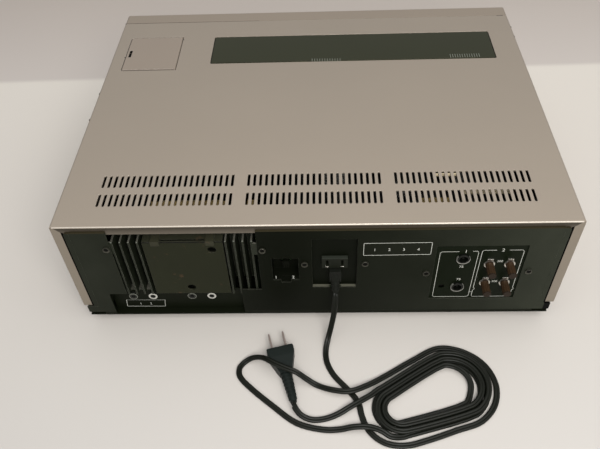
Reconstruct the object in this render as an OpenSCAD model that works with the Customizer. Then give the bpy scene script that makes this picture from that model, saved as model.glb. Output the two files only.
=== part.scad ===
// Front-loading video cassette recorder with its flat mains lead.
// Millimetres. +Z is up, the front faces -Y and the rear faces +Y.
// The origin is on the table, under the middle of the recorder without its lead.

/* [Case] */
// Width over the cover
unit_w = 430; // [400:5:460]
// Depth from the front panel to the rear edge of the cover
unit_d = 332; // [326:2:360]
// Height from the table to the top of the cover
unit_h = 130; // [128:1:140]
// Height of the feet
foot_h = 8; // [6:1:12]
// Thickness of the cover's sheet
sheet = 1.2; // [0.8:0.1:1.5]
// Outer radius of the cover's long bends
bend_r = 2.5; // [2:0.25:4]
// Width of the cover's return flanges at the sides of the rear
flange_w = 12; // [11:0.5:13]
// Height of the cover's return flange along the top of the rear
flange_top = 10.5; // [9:0.5:12]
// Radius of the rolled edge above the rear flange
roll_r = 1; // [0.8:0.1:1.2]
// Distance that the rolled edge stands out behind the flange
roll_reach = 1.4; // [1.2:0.1:2]
// Height of the base that shows below the cover's sides
cover_lift = 15; // [10:1:20]
// Width of the base pan
base_w = 424; // [420:1:425]
// Thickness of the base pan's sheet
base_t = 1.2; // [1:0.1:1.6]
// Height of the base pan's side walls
base_wall = 52; // [40:2:60]
// Radius of a foot
foot_r = 13; // [10:1:16]
// Distance of a foot from the side of the case
foot_inset = 34; // [26:1:50]
// Radius of a cover screw's head
cover_screw_r = 4; // [3:0.5:5]
// Height of the cover screws above the table
cover_screw_z = 36; // [30:1:44]

/* [Vents] */
// Slots in one group
vent_slots = 23; // [15:1:23]
// Distance from slot to slot
vent_pitch = 5.05; // [4.5:0.05:5.1]
// Distance from group to group
vent_group_pitch = 125; // [118:1:128]
// Width of a slot
vent_w = 2.4; // [1.6:0.1:3]
// Length of a slot
vent_len = 15; // [10:0.2:18]
// Distance from the cover's rear edge to the middle of the rear row
vent_rear = 29.3; // [24:0.5:34]
// Distance from row to row
vent_row_pitch = 22.7; // [20:0.5:26]

/* [Top window and hatch] */
// Width of the smoked window
window_w = 295.8; // [260:1:300]
// Depth of the smoked window
window_d = 51.5; // [40:1:56]
// Thickness of the window
window_t = 3; // [2.5:0.5:4]
// Middle of the window, across
window_x = -39.6; // [-48:1:-36]
// Middle of the window behind the front panel's face
window_y = 75.7; // [66:1:80]
// Width of the hatch lid
hatch_w = 57; // [48:1:62]
// Depth of the hatch lid
hatch_d = 63; // [50:1:68]
// Middle of the hatch, across
hatch_x = 172; // [168:1:176]
// Middle of the hatch behind the front panel's face
hatch_y = 80; // [72:1:84]
// Thickness of the hatch lid
hatch_t = 2; // [1.6:0.1:2.1]
// Radius of the hatch lid's rolled hinge edge
hatch_barrel_r = 2.6; // [2.5:0.1:3]
// Depth of the preset compartment below the hatch
preset_depth = 26; // [20:1:32]
// Preset wheels in the compartment
preset_count = 8; // [4:1:8]
// Gap round the window and the hatch
lid_gap = 0.4; // [0.3:0.05:0.6]

/* [Front panel] */
// Depth of the front panel's moulding
strip_d = 17; // [15:1:22]
// Seam between the front panel and the cover
seam = 0.5; // [0.3:0.1:1]
// Wall of the front panel
panel_wall = 3; // [2.5:0.25:3.5]
// Gap below the front panel, above the base's bottom
panel_lift = 4; // [2:1:8]
// Width of the cassette slot
slot_w = 191; // [190:0.5:193]
// Height of the cassette slot
slot_h = 30.8; // [30:0.2:31.4]
// Distance of the slot's upper edge below the top of the cover
slot_drop = 9.8; // [9.4:0.1:10]
// Middle of the cassette slot and the tape deck, across
deck_x = -85; // [-90:1:-80]
// Width of the display window
display_w = 158; // [130:2:160]
// Height of the display window
display_h = 30; // [24:1:34]
// Middle of the display window, across
display_x = 122; // [118:1:124]
// Width of a transport key
key_w = 26; // [20:1:26]
// Height of a transport key
key_h = 13; // [10:1:16]
// Distance from key to key
key_pitch = 28; // [28:0.5:31]
// Height of the keys' middle above the table
key_z = 56; // [50:1:62]
// Distance that a key stands proud
key_proud = 2; // [1.5:0.25:3]
// Travel of a key
key_travel = 2; // [1:0.25:2.5]
// Clearance round a key
key_gap = 0.3; // [0.25:0.05:0.5]
// Radius of the power button
power_r = 9; // [7:0.5:11]

/* [Rear panel] */
// Thickness of the rear panel
rear_t = 1.2; // [1:0.1:1.5]
// Gap between the rear panel and each of the cover's side flanges
rear_gap = 1.3; // [0.8:0.1:2]
// Distance of the rear panel's top edge below the cover's top
rear_drop = 6.5; // [5:0.5:8]
// Radius of the rear panel's upper corners
rear_corner_r = 3; // [2:0.5:5]
// Lower edge of the rear panel above the base's bottom
rear_lift = 6; // [4:1:8]
// Distance that the aerial posts stand behind the cover
post_reach = 14; // [12:0.5:16]

/* [Heat sink] */
// Distance from fin to fin
fin_pitch = 7.2; // [6.4:0.1:7.4]
// Thickness of a fin
fin_t = 1.5; // [1:0.1:2]
// Depth of the fins
fin_d = 20; // [16:1:24]
// Fins on each side
fin_count = 4; // [3:1:4]
// Outer fin towards the case's side
fin_x = 168.9; // [168:0.1:169]
// Width of the transistor plate between the fins
plate_w = 67.5; // [60:0.5:68]
// Distance of the heat sink's top below the top of the cover
sink_drop = 20.5; // [19:0.5:26]
// Height of the heat sink's lower edge above the base's bottom
sink_lift = 31; // [31:0.5:34]

/* [Jacks] */
// Radius of a phono jack's collar
jack_r = 4; // [3.6:0.1:4.4]
// Radius of a phono jack's bore
jack_bore_r = 1.9; // [1.5:0.1:2.2]
// Distance between the two jacks of a pair
jack_pitch = 18.2; // [14:0.2:20]
// Height of the jacks above the base's bottom
jack_lift = 22.8; // [14:0.2:24]
// Depth of the jack bay behind the rear panel's back
bay_d = 6.5; // [5:0.5:8]

/* [Aerial terminals] */
// Radius of a coaxial socket's collar
coax_r = 5.8; // [5:0.1:6.4]
// Radius of a terminal stud
stud_r = 2; // [1.5:0.1:2.2]
// Radius of a terminal cap
cap_r = 3.5; // [3.2:0.1:4]
// Clearance of a shaft in its bore
run_gap = 0.05; // [0.03:0.01:0.08]

/* [Tape deck] */
// Depth of the deck plate's underside below the top of the cover
deck_drop = 82; // [81:0.5:82]
// Thickness of the deck plate
deck_t = 2; // [1.5:0.25:2]
// Radius of the head drum
drum_r = 31; // [28:0.5:31]
// Tilt of the head drum
drum_tilt = 6; // [4:0.5:7]
// Middle of the head drum behind the front panel's face
drum_y = 197; // [196:1:200]
// Middle of the reels behind the front panel's face
reel_y = 92; // [90:1:94]
// Distance between the reels
reel_pitch = 92; // [90:1:94]
// Radius of a reel table
reel_r = 22; // [18:1:23]
// Travel of the cassette holder towards the rear
tray_travel = 75; // [60:1:75]
// Travel of the cassette holder downwards
tray_drop = 28; // [24:1:28]
// Inner width of the cassette holder
holder_w = 192; // [191.6:0.2:192.4]
// Depth of the cassette holder
holder_d = 68; // [60:1:68]
// Sheet of the cassette holder, its slider and its frame
holder_t = 1.2; // [1:0.1:1.4]
// Travel of the tape guides
guide_travel = 68; // [60:1:68]

/* [Power parts] */
// Width of the transformer's core
core_w = 58; // [50:1:62]
// Height of the transformer's core
core_h = 48; // [40:1:54]
// Stack of the transformer's core
core_d = 36; // [28:1:40]
// Distance of the transformer's middle from the rear
core_back = 78; // [74:1:84]

/* [Mains lead] */
// Width of the flat twin lead
cord_w = 5.2; // [5:0.1:5.4]
// Thickness of the flat twin lead
cord_t = 2.8; // [2.6:0.1:3]
// Distance from turn to turn in the coil
coil_pitch = 5.8; // [5.8:0.1:5.8]
// Width of the plug's body
plug_w = 24; // [20:1:26]
// Thickness of the plug's body
plug_t = 12; // [10:0.5:13]
// Distance between the plug's blades
blade_pitch = 12.7; // [12.7:0.1:12.7]
// Length of the blades
blade_len = 17; // [16:0.5:19]

/* [Hidden] */
$fn = 48;

// Colours
champagne = [0.66, 0.62, 0.56];
near_black = [0.09, 0.10, 0.09];
steel = [0.62, 0.63, 0.64];
smoked = [0.07, 0.11, 0.10];

// Main planes of the case
rear_y = (unit_d + key_proud - post_reach) / 2;
front_y = rear_y - unit_d;
strip_y = front_y + strip_d;
cover_y = strip_y + seam;
base_z = foot_h;
floor_z = base_z + base_t;
cover_z = base_z + cover_lift;
under_z = unit_h - sheet;
slot_z = unit_h - slot_drop - slot_h;
deck_z = unit_h - deck_drop;
rear_w = unit_w - 2 * (flange_w + rear_gap);
over = 1;

// Draws a box between two limits on each axis.
module block(x0, x1, y0, y1, z0, z1)
    translate([x0, y0, z0]) cube([x1 - x0, y1 - y0, z1 - z0]);

// Draws a standing cylinder between two heights.
module post(x, y, z0, z1, r)
    translate([x, y, z0]) cylinder(h = z1 - z0, r = r);

// Draws a cylinder along Y between two depths.
module rod_y(x, z, y0, y1, r)
    translate([x, y0, z]) rotate([-90, 0, 0]) cylinder(h = y1 - y0, r = r);

// Draws a cylinder along X between two sides.
module rod_x(x0, x1, y, z, r)
    translate([x0, y, z]) rotate([0, 90, 0]) cylinder(h = x1 - x0, r = r);

// Rectangle with round corners about its middle.
module soft_rect(w, h, r) {
    square([w - 2 * r, h], center = true);
    square([w, h - 2 * r], center = true);
    for (i = [-1, 1], j = [-1, 1])
        translate([i * (w / 2 - r), j * (h / 2 - r)]) circle(r = r);
}

// Slot with round ends, its long side along Y.
module long_hole(w, l) {
    square([w, l - w], center = true);
    for (j = [-1, 1]) translate([0, j * (l - w) / 2]) circle(d = w);
}

// Extrudes an outline drawn in X and Z towards the rear.
module towards_rear(y0, t)
    translate([0, y0 + t, 0]) rotate([90, 0, 0]) linear_extrude(t) children();

// Case

vent_rows = [rear_y - vent_rear, rear_y - vent_rear - vent_row_pitch];
window_mid = [window_x, front_y + window_y];
hatch_mid = [hatch_x, front_y + hatch_y];
hatch_hinge_x = hatch_x - hatch_w / 2 + hatch_barrel_r;
hatch_hinge_z = unit_h - hatch_barrel_r;
screw_ys = [front_y + 60, rear_y - 60];

module vent_pattern()
    for (g = [-1, 0, 1], i = [0 : vent_slots - 1], y = vent_rows)
        translate([g * vent_group_pitch + (i - (vent_slots - 1) / 2) * vent_pitch, y])
            long_hole(vent_w, vent_len);

// Cross-section of the cover, seen from the front, grown inwards by a wall and a roof.
module cover_section(wall, roof, low) {
    w = unit_w - 2 * wall;
    r = bend_r - min(wall, sheet);
    top = unit_h - roof;
    translate([-w / 2, low]) square([w, top - r - low]);
    translate([-w / 2 + r, low]) square([w - 2 * r, top - low]);
    for (i = [-1, 1]) translate([i * (w / 2 - r), top - r]) circle(r = r);
}

module top_cover() color(champagne) {
    difference() {
        towards_rear(cover_y, rear_y - cover_y) cover_section(0, 0, cover_z);
        towards_rear(cover_y - over, rear_y - cover_y - sheet + over)
            cover_section(sheet, sheet, cover_z - over);
        towards_rear(cover_y, rear_y - cover_y + over)
            cover_section(flange_w, flange_top, cover_z - over);
        translate([0, 0, under_z - over]) linear_extrude(sheet + 2 * over) {
            vent_pattern();
            translate(window_mid) soft_rect(window_w + 2 * lid_gap, window_d + 2 * lid_gap, 2);
            translate(hatch_mid) soft_rect(hatch_w + 2 * lid_gap, hatch_d + 2 * lid_gap, 3);
            // Square corners for the lid's rolled edge
            translate(hatch_mid - [hatch_w / 2 + lid_gap, hatch_d / 2 + lid_gap])
                square([8, hatch_d + 2 * lid_gap]);
        }
        for (i = [-1, 1], y = screw_ys)
            rod_x(i * unit_w / 2 - 3, i * unit_w / 2 + 3, y, cover_screw_z, 1.7);
    }
    // Rolled edge along the top of the rear, between the cover's long bends
    roll_w = unit_w / 2 - bend_r;
    rod_x(-roll_w, roll_w, rear_y + roll_reach - roll_r, unit_h - roll_r, roll_r);
    block(-roll_w, roll_w, rear_y - sheet, rear_y + roll_reach - roll_r, unit_h - 2 * roll_r, unit_h);
}

// Corner posts under the deck and the board, as [x, y].
deck_posts = [for (i = [-1, 1], y = [front_y + 36, front_y + 236]) [deck_x + i * 102, y]];
board_posts = [[-192, rear_y - 84], [-192, rear_y - 10], [40, rear_y - 84], [40, rear_y - 10]];
board_z = floor_z + 15;
foot_spots = [for (i = [-1, 1], y = [front_y + 34, rear_y - 34])
              [i * (unit_w / 2 - foot_inset), y]];

module base_pan() color(near_black) {
    w = base_w / 2;
    difference() {
        union() {
            block(-w, w, strip_y, rear_y, base_z, floor_z);
            for (i = [-1, 1])
                block(min(i * w, i * (w - base_t)), max(i * w, i * (w - base_t)),
                      strip_y, rear_y - sheet, base_z, base_z + base_wall);
            block(-w, w, strip_y, strip_y + base_t, base_z, base_z + 38);
            block(-rear_w / 2 + 4, rear_w / 2 - 4, rear_y - base_t, rear_y, base_z, base_z + 18);
        }
        for (i = [-1, 1], y = screw_ys)
            rod_x(i * w - 3, i * w + 3, y, cover_screw_z, 1.6);
        for (p = foot_spots) post(p[0], p[1], base_z - over, floor_z + over, 2.1);
        translate([0, 0, base_z - over]) linear_extrude(base_t + 2 * over)
            for (i = [0 : 11], g = [-1, 1])
                translate([g * 95 + (i - 5.5) * 9, rear_y - 125]) long_hole(3, 40);
        block(jack_x0, jack_x1, rear_y - bay_d, rear_y + over, floor_z, base_z + 19);
    }
    for (p = deck_posts) post(p[0], p[1], floor_z, deck_z, 5);
    for (p = board_posts) post(p[0], p[1], floor_z, board_z, 4);
    for (i = [-1, 1], y = [-1, 1])
        post(core_x + i * (core_w / 2 + 7), core_y + y * core_d / 4, floor_z, floor_z + 4, 4);
}

module feet() color([0.05, 0.05, 0.05])
    for (p = foot_spots) translate([p[0], p[1], 0]) {
        rotate_extrude() {
            square([foot_r - 1.5, foot_h]);
            translate([0, 1.5]) square([foot_r, foot_h - 1.5]);
            translate([foot_r - 1.5, 1.5]) circle(r = 1.5);
        }
        cylinder(h = foot_h + base_t, r = 2);
    }

module cover_screws() color([0.25, 0.24, 0.22])
    for (i = [-1, 1], y = screw_ys) {
        head = i * unit_w / 2;
        difference() {
            rod_x(min(head, head + i * 1.5), max(head, head + i * 1.5), y, cover_screw_z,
                  cover_screw_r);
            block(head - 3, head + 3, y - 0.5, y + 0.5, cover_screw_z - 2.5, cover_screw_z + 2.5);
        }
        rod_x(min(head, head - i * 9), max(head, head - i * 9), y, cover_screw_z, 1.5);
    }

module top_window() color(smoked) translate([window_mid[0], window_mid[1], 0]) {
    translate([0, 0, unit_h - 0.8]) linear_extrude(0.8)
        soft_rect(window_w - 1.6, window_d - 1.6, 1);
    translate([0, 0, unit_h - sheet]) linear_extrude(sheet - 0.8)
        soft_rect(window_w, window_d, 1.6);
    translate([0, 0, unit_h - window_t]) linear_extrude(window_t - sheet)
        soft_rect(window_w + 10, window_d + 10, 3);
}

// Hatch over the channel presets

preset_z = unit_h - preset_depth;
tray_wall = 1.6;
ear_t = 3;
hatch_pin_r = 1;

module hatch_lid() color(champagne) {
    x1 = hatch_x + hatch_w / 2;
    y0 = hatch_mid[1] - hatch_d / 2;
    difference() {
        translate([0, 0, unit_h - hatch_t]) linear_extrude(hatch_t) {
            translate([hatch_mid[0] + 3, hatch_mid[1]]) soft_rect(hatch_w - 6, hatch_d, 3);
            translate([hatch_hinge_x, y0]) square([8, hatch_d]);
        }
        translate([x1 - 4, hatch_mid[1], unit_h - 0.9]) linear_extrude(over + 1)
            soft_rect(3, 13, 1);
    }
    rod_y(hatch_hinge_x, hatch_hinge_z, y0, y0 + hatch_d, hatch_barrel_r);
    rod_y(hatch_hinge_x, hatch_hinge_z, y0 - ear_t, y0 + hatch_d + ear_t, hatch_pin_r);
}

module preset_tray() color([0.13, 0.13, 0.13]) {
    w = hatch_w / 2 + lid_gap;
    d = hatch_d / 2 + lid_gap;
    lip = under_z;
    difference() {
        union() {
            block(hatch_x - w - tray_wall - 4, hatch_x + w + tray_wall,
                  hatch_mid[1] - d - tray_wall - 3, hatch_mid[1] + d + tray_wall + 3,
                  preset_z, lip);
        }
        block(hatch_x - w, hatch_x + w, hatch_mid[1] - d, hatch_mid[1] + d,
              preset_z + tray_wall, lip + over);
        rod_y(hatch_hinge_x, hatch_hinge_z, hatch_mid[1] - d - ear_t - 0.2,
              hatch_mid[1] + d + ear_t + 0.2, hatch_pin_r + run_gap);
        block(hatch_x - w - tray_wall - 4 - over, hatch_x - w - tray_wall,
              hatch_mid[1] - d + 4, hatch_mid[1] + d - 4, preset_z - over, lip - 8);
    }
    // A rest for the lid's free edge
    block(hatch_x + w - 1.2, hatch_x + w, hatch_mid[1] - 10, hatch_mid[1] + 10,
          preset_z + tray_wall, unit_h - hatch_t);
    // Thumbwheels of the channel presets, each in its slot of a raised block
    for (i = [0 : preset_count - 1])
        let (y = hatch_mid[1] + (i - (preset_count - 1) / 2) * 7) {
            block(hatch_x - 16, hatch_x + 16, y - 2.8, y + 2.8, preset_z, preset_z + 8);
            rod_y(hatch_x, preset_z + 6, y - 1.6, y + 1.6, 7);
        }
}

// Front panel and what it carries

slot_mid = [deck_x, slot_z + slot_h / 2];
display_z = slot_z + slot_h / 2;
flap_w = slot_w - 2;
flap_t = 2;
flap_barrel_r = 2.2;
flap_y = front_y + 0.5 + flap_barrel_r;
flap_z = slot_z + slot_h - lid_gap - flap_barrel_r;
flap_low = slot_z + 0.9;
flap_pin_r = 1.2;
flap_pin = 3;
key_xs = [for (i = [0 : 5]) deck_x + (i - 2.5) * key_pitch];
power_x = display_x + 62;
eject_x = (deck_x + slot_w / 2 + display_x - display_w / 2) / 2;
eject_w = 14;
eject_h = 20;
panel_z = base_z + panel_lift;
flange = 1.6;

module key_hole(x, z, w, h)
    translate([x, z]) soft_rect(w + 2 * key_gap, h + 2 * key_gap, 1.2);

module front_panel() color(champagne) {
    w = unit_w / 2;
    mid = (panel_z + unit_h) / 2;
    h = unit_h - panel_z;
    side = 2.5;
    difference() {
        towards_rear(front_y, strip_d) translate([0, mid]) soft_rect(unit_w, h, 3);
        towards_rear(front_y + panel_wall, strip_d)
            translate([0, mid]) soft_rect(unit_w - 2 * side, h - 2 * side, 2);
        towards_rear(front_y - over, panel_wall + 2 * over) {
            translate(slot_mid) square([slot_w, slot_h], center = true);
            for (x = key_xs) key_hole(x, key_z, key_w, key_h);
            key_hole(eject_x, display_z, eject_w, eject_h);
            translate([power_x, key_z - 8]) circle(r = power_r + key_gap);
            translate([display_x, display_z]) square([display_w - 6, display_h - 6], center = true);
        }
        towards_rear(front_y - over, 1.5 + over)
            translate([display_x, display_z]) soft_rect(display_w + 0.4, display_h + 0.4, 1.7);
        // Long groove across the face, below the slot and the display
        towards_rear(front_y - over, 0.8 + over)
            translate([0, slot_z - 11]) square([unit_w - 24, 2], center = true);
        // Bores of the flap's pins in the ends of the slot
        rod_x(deck_x - flap_w / 2 - flap_pin - 0.3, deck_x + flap_w / 2 + flap_pin + 0.3,
              flap_y, flap_z, flap_pin_r + run_gap);
        // Round hollows for plugs of a microphone and earphones
        for (i = [0, 1]) rod_y(display_x - 60 + i * 16, key_z - 8, front_y - over, front_y + 2, 4);
    }
    // Ears that carry the flap's pins
    for (i = [-1, 1])
        difference() {
            x0 = deck_x + i * (slot_w / 2 + 0.3);
            x1 = deck_x + i * (slot_w / 2 + 4.5);
            block(min(x0, x1), max(x0, x1), front_y + panel_wall - 0.01, flap_y + 4,
                  flap_z - 4, flap_z + 4);
            rod_x(x0 - 6, x0 + 6, flap_y, flap_z, flap_pin_r + run_gap);
        }
    // Guide sleeves behind the keys
    for (x = key_xs) key_sleeve(x, key_z, key_w, key_h);
    key_sleeve(eject_x, display_z, eject_w, eject_h);
}

// Two short walls, above and below, that guide a key.
module key_sleeve(x, z, w, h)
    for (i = [-1, 1])
        translate([x, front_y + panel_wall + 4, z + i * (h / 2 + key_gap + flange + 0.7)])
            cube([w / 2, 8.02, 0.8], center = true);

// A key: its cap, its retaining flange behind the wall and its stem.
module key(x, z, w, h) {
    towards_rear(front_y - key_proud, key_proud + panel_wall + 0.5)
        translate([x, z]) soft_rect(w, h, 1);
    towards_rear(front_y + panel_wall + 0.1, 1.4)
        translate([x, z]) square([w - 2, h + 2 * flange], center = true);
    towards_rear(front_y + panel_wall, 7) translate([x, z]) square([w / 3, h / 3], center = true);
}

module rewind_key() color([0.70, 0.69, 0.66]) key(key_xs[0], key_z, key_w, key_h);
module stop_key() color([0.70, 0.69, 0.66]) key(key_xs[1], key_z, key_w, key_h);
module play_key() color([0.70, 0.69, 0.66]) key(key_xs[2], key_z, key_w, key_h);
module forward_key() color([0.70, 0.69, 0.66]) key(key_xs[3], key_z, key_w, key_h);
module pause_key() color([0.70, 0.69, 0.66]) key(key_xs[4], key_z, key_w, key_h);
module record_key() color([0.62, 0.20, 0.16]) key(key_xs[5], key_z, key_w, key_h);
module eject_button() color([0.70, 0.69, 0.66]) key(eject_x, display_z, eject_w, eject_h);

module power_button() color([0.75, 0.74, 0.71]) {
    rod_y(power_x, key_z - 8, front_y - key_proud, front_y + panel_wall + 1, power_r);
    rod_y(power_x, key_z - 8, front_y + panel_wall + 0.1, front_y + panel_wall + 1.5,
          power_r + flange);
    rod_y(power_x, key_z - 8, front_y + panel_wall, front_y + panel_wall + 7, power_r / 3);
}

module display_window() color(smoked) {
    towards_rear(front_y, 1.5) translate([display_x, display_z])
        soft_rect(display_w, display_h, 1.5);
    // The display's glass behind its window
    towards_rear(front_y + panel_wall, 6) translate([display_x, display_z])
        square([display_w - 20, display_h - 10], center = true);
    towards_rear(front_y + 1.5, panel_wall - 1.5) translate([display_x, display_z])
        square([display_w - 6.6, display_h - 6.6], center = true);
}

module cassette_flap() color([0.16, 0.16, 0.16]) {
    block(deck_x - flap_w / 2, deck_x + flap_w / 2, flap_y - flap_barrel_r,
          flap_y - flap_barrel_r + flap_t, flap_low, flap_z);
    rod_x(deck_x - flap_w / 2, deck_x + flap_w / 2, flap_y, flap_z, flap_barrel_r);
    rod_x(deck_x - flap_w / 2 - flap_pin, deck_x + flap_w / 2 + flap_pin, flap_y, flap_z,
          flap_pin_r);
}

// Rear panel

sink_z = base_z + sink_lift;
sink_top = unit_h - sink_drop;
plate_x1 = fin_x - (fin_count - 1) * fin_pitch - fin_t / 2 - 3.1;
plate_x0 = plate_x1 - plate_w;
fin_xs = concat([for (i = [0 : fin_count - 1]) fin_x - i * fin_pitch],
                [for (i = [0 : fin_count - 1]) plate_x0 - 1.5 - fin_t / 2 - i * fin_pitch]);
sink_end = fin_xs[2 * fin_count - 1];
jack_x0 = 66;
jack_x1 = 187;
bay_top = sink_z - 1;
rear_bottom = base_z + rear_lift;
rear_top = unit_h - rear_drop;
switch_mid = [25.4, base_z + 66];
switch_size = [22.8, 29];
recess = [-35.8, 2.4, base_z + 39.8, unit_h - 18];
antenna = [-176.5, -101.2, base_z + 22.5, base_z + 94];
rear_screw_spots = [[fin_x + 5, sink_top - 7], [sink_end - 8.5, sink_top - 10],
                    [recess[1] + 6.4, base_z + 73], [recess[0] - 6.8, base_z + 73],
                    [antenna[1] + 5.9, base_z + 59.5], [antenna[0] - 5.5, base_z + 61]];

module rear_outline() {
    low = base_w / 2;
    translate([-low, rear_bottom]) square([2 * low, cover_z - 0.6 - rear_bottom]);
    translate([-rear_w / 2, rear_bottom]) square([rear_w, rear_top - rear_corner_r - rear_bottom]);
    translate([0, rear_top - 10]) soft_rect(rear_w, 20, rear_corner_r);
}

module span(x0, x1, z0, z1) translate([x0, z0]) square([x1 - x0, z1 - z0]);

module rear_panel() color(near_black)
    towards_rear(rear_y, rear_t) difference() {
        rear_outline();
        // Heat sink's cut-out, open at the top, and the jack bay below it
        span(sink_end - 4.3, fin_x + 1.6, sink_z + 7, unit_h);
        span(jack_x0, fin_x + 1.6, bay_top - over, unit_h);
        span(jack_x0, jack_x1, base_z - over, bay_top + 3);
        // Channel switch well and its notch
        translate(switch_mid) square(switch_size, center = true);
        translate([switch_mid[0], switch_mid[1] - switch_size[1] / 2]) square([8.5, 7], center = true);
        span(recess[0], recess[1], recess[2], recess[3]);
        span(antenna[0], antenna[1], antenna[2], antenna[3]);
        for (p = rear_screw_spots) translate(p) circle(r = 1.6);
    }

module rear_screws() color([0.16, 0.16, 0.15])
    for (p = rear_screw_spots) {
        difference() {
            rod_y(p[0], p[1], rear_y + rear_t, rear_y + rear_t + 1.6, 2.8);
            rod_y(p[0], p[1], rear_y + rear_t + 1, rear_y + rear_t + 2, 1.2);
        }
        rod_y(p[0], p[1], rear_y - 6, rear_y + rear_t, 1.4);
    }

module heat_sink() color([0.07, 0.08, 0.075]) {
    back = rear_y - fin_d;
    x0 = sink_end - fin_t / 2;
    x1 = fin_x + fin_t / 2;
    block(x0, x1, back - 4, back, sink_z, sink_top);
    for (x = fin_xs) block(x - fin_t / 2, x + fin_t / 2, back, rear_y, sink_z, sink_top);
    // Ledge between the lower ends of the outer fins
    block(fin_xs[fin_count - 1], x1, back, rear_y - 5, sink_z, sink_z + 1.2);
    // Lugs behind the rear panel
    difference() {
        union() {
            block(x1, x1 + 10, rear_y - 1.5, rear_y, sink_top - 14, sink_top);
            block(x0 - 13, x0, rear_y - 1.5, rear_y, sink_top - 17, sink_top - 3);
        }
        for (i = [0, 1])
            rod_y(rear_screw_spots[i][0], rear_screw_spots[i][1], rear_y - 3, rear_y + 1, 1.5);
    }
}

module transistor_plate() color([0.11, 0.12, 0.11]) {
    back = rear_y - fin_d;
    difference() {
        union() {
            block(plate_x0, plate_x1, rear_y - 1.5, rear_y, sink_z + 1, sink_top);
            block(plate_x0, plate_x1, back, rear_y, sink_top - 1.5, sink_top);
            for (x = [plate_x0 + 7, plate_x1 - 14.5]) {
                block(x, x + 7.3, rear_y - 0.01, rear_y + 1, sink_top - 4, sink_top + 1.2);
                block(x, x + 7.3, rear_y - 12, rear_y + 1, sink_top - 0.01, sink_top + 1.2);
            }
        }
        rod_y(plate_x0 + 10, sink_top - 10.5, rear_y - 3, rear_y + 2, 3.8);
        rod_y(plate_x1 - 33, sink_z + 9.5, rear_y - 3, rear_y + 2, 3.8);
        // Bending groove along the top, between the two clips
        block(plate_x0 + 15, plate_x1 - 15, rear_y - 2.7, rear_y - 1.5, sink_top - 0.8, sink_top + over);
    }
}

// Jack bay

bay_y = rear_y - bay_d;
jack_z = base_z + jack_lift;
audio_pair = [149.6, 95.3];

module jack_plate() color([0.12, 0.13, 0.12]) {
    difference() {
        block(jack_x0 - 1.2, jack_x1 + 1.2, bay_y - 1.2, bay_y, floor_z, bay_top);
        for (x = audio_pair, i = [0, 1])
            rod_y(x + i * jack_pitch, jack_z, bay_y - 3, bay_y + 1, jack_r - 0.5 + run_gap);
    }
    for (x = [jack_x0 - 1.2, jack_x1])
        block(x, x + 1.2, bay_y, rear_y, base_z + 18.2, bay_top);
}

module phono_jack(x) {
    difference() {
        union() {
            rod_y(x, jack_z, bay_y, bay_y + 3, jack_r);
            rod_y(x, jack_z, bay_y - 8, bay_y, jack_r - 0.5);
        }
        rod_y(x, jack_z, bay_y - 6, bay_y + 4, jack_bore_r);
    }
    block(x - 4, x + 4, bay_y - 9.2, bay_y - 8, jack_z - 5, jack_z + 5);
}

module video_jacks() color([0.10, 0.10, 0.10]) for (x = audio_pair) phono_jack(x + jack_pitch);
module audio_jacks() color([0.86, 0.86, 0.84]) for (x = audio_pair) phono_jack(x);

// Channel switch in its well

well_d = 13;
well_y = rear_y - well_d;
knob_travel = 3;
knob_z = switch_mid[1] - 4;

module channel_switch_body() color([0.05, 0.05, 0.05]) {
    w = switch_size[0] / 2;
    h = switch_size[1] / 2;
    x = switch_mid[0];
    z = switch_mid[1];
    difference() {
        union() {
            block(x - w - 1.2, x + w + 1.2, well_y - 1.2, rear_y, z - h - 1.2, z + h + 1.2);
            block(x - 5.5, x + 5.5, well_y - 1.2, rear_y, z - h - 4.7, z - h);
        }
        block(x - w, x + w, well_y, rear_y + over, z - h, z + h);
        block(x - 4.25, x + 4.25, rear_y - 4, rear_y + over, z - h - 3.5, z - h + over);
        block(x - knob_travel - 1.8, x + knob_travel + 1.8, well_y - 3, well_y + 1,
              knob_z - 1.8, knob_z + 1.8);
    }
}

module channel_switch_knob() color([0.20, 0.20, 0.19]) {
    x = switch_mid[0];
    block(x - 3, x + 3, well_y + 0.3, well_y + 5.5, knob_z - 4, knob_z + 4);
    for (i = [-1, 0, 1])
        block(x + i * 1.8 - 0.4, x + i * 1.8 + 0.4, well_y + 5, well_y + 6.2, knob_z - 4, knob_z + 4);
    block(x - 1.5, x + 1.5, well_y - 3, well_y + 1, knob_z - 1.5, knob_z + 1.5);
}

// Mains outlet and the lead's bushing in their recess

recess_y = rear_y - 2.6;
outlet_x = -16.9;
outlet_w = 22;
outlet_z = base_z + 72.8;
outlet_h = 12.2;
bush_w = 10;
bush_top = outlet_z - outlet_h / 2 - 1.4;
bush_h = 13;
relief_len = 18;
relief_tilt = 22;
relief_from = [outlet_x - 0.5, rear_y + 1, bush_top - 4.5];
relief_dir = [0, sin(relief_tilt), -cos(relief_tilt)];
cord_exit = relief_from + relief_len * relief_dir;

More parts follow.
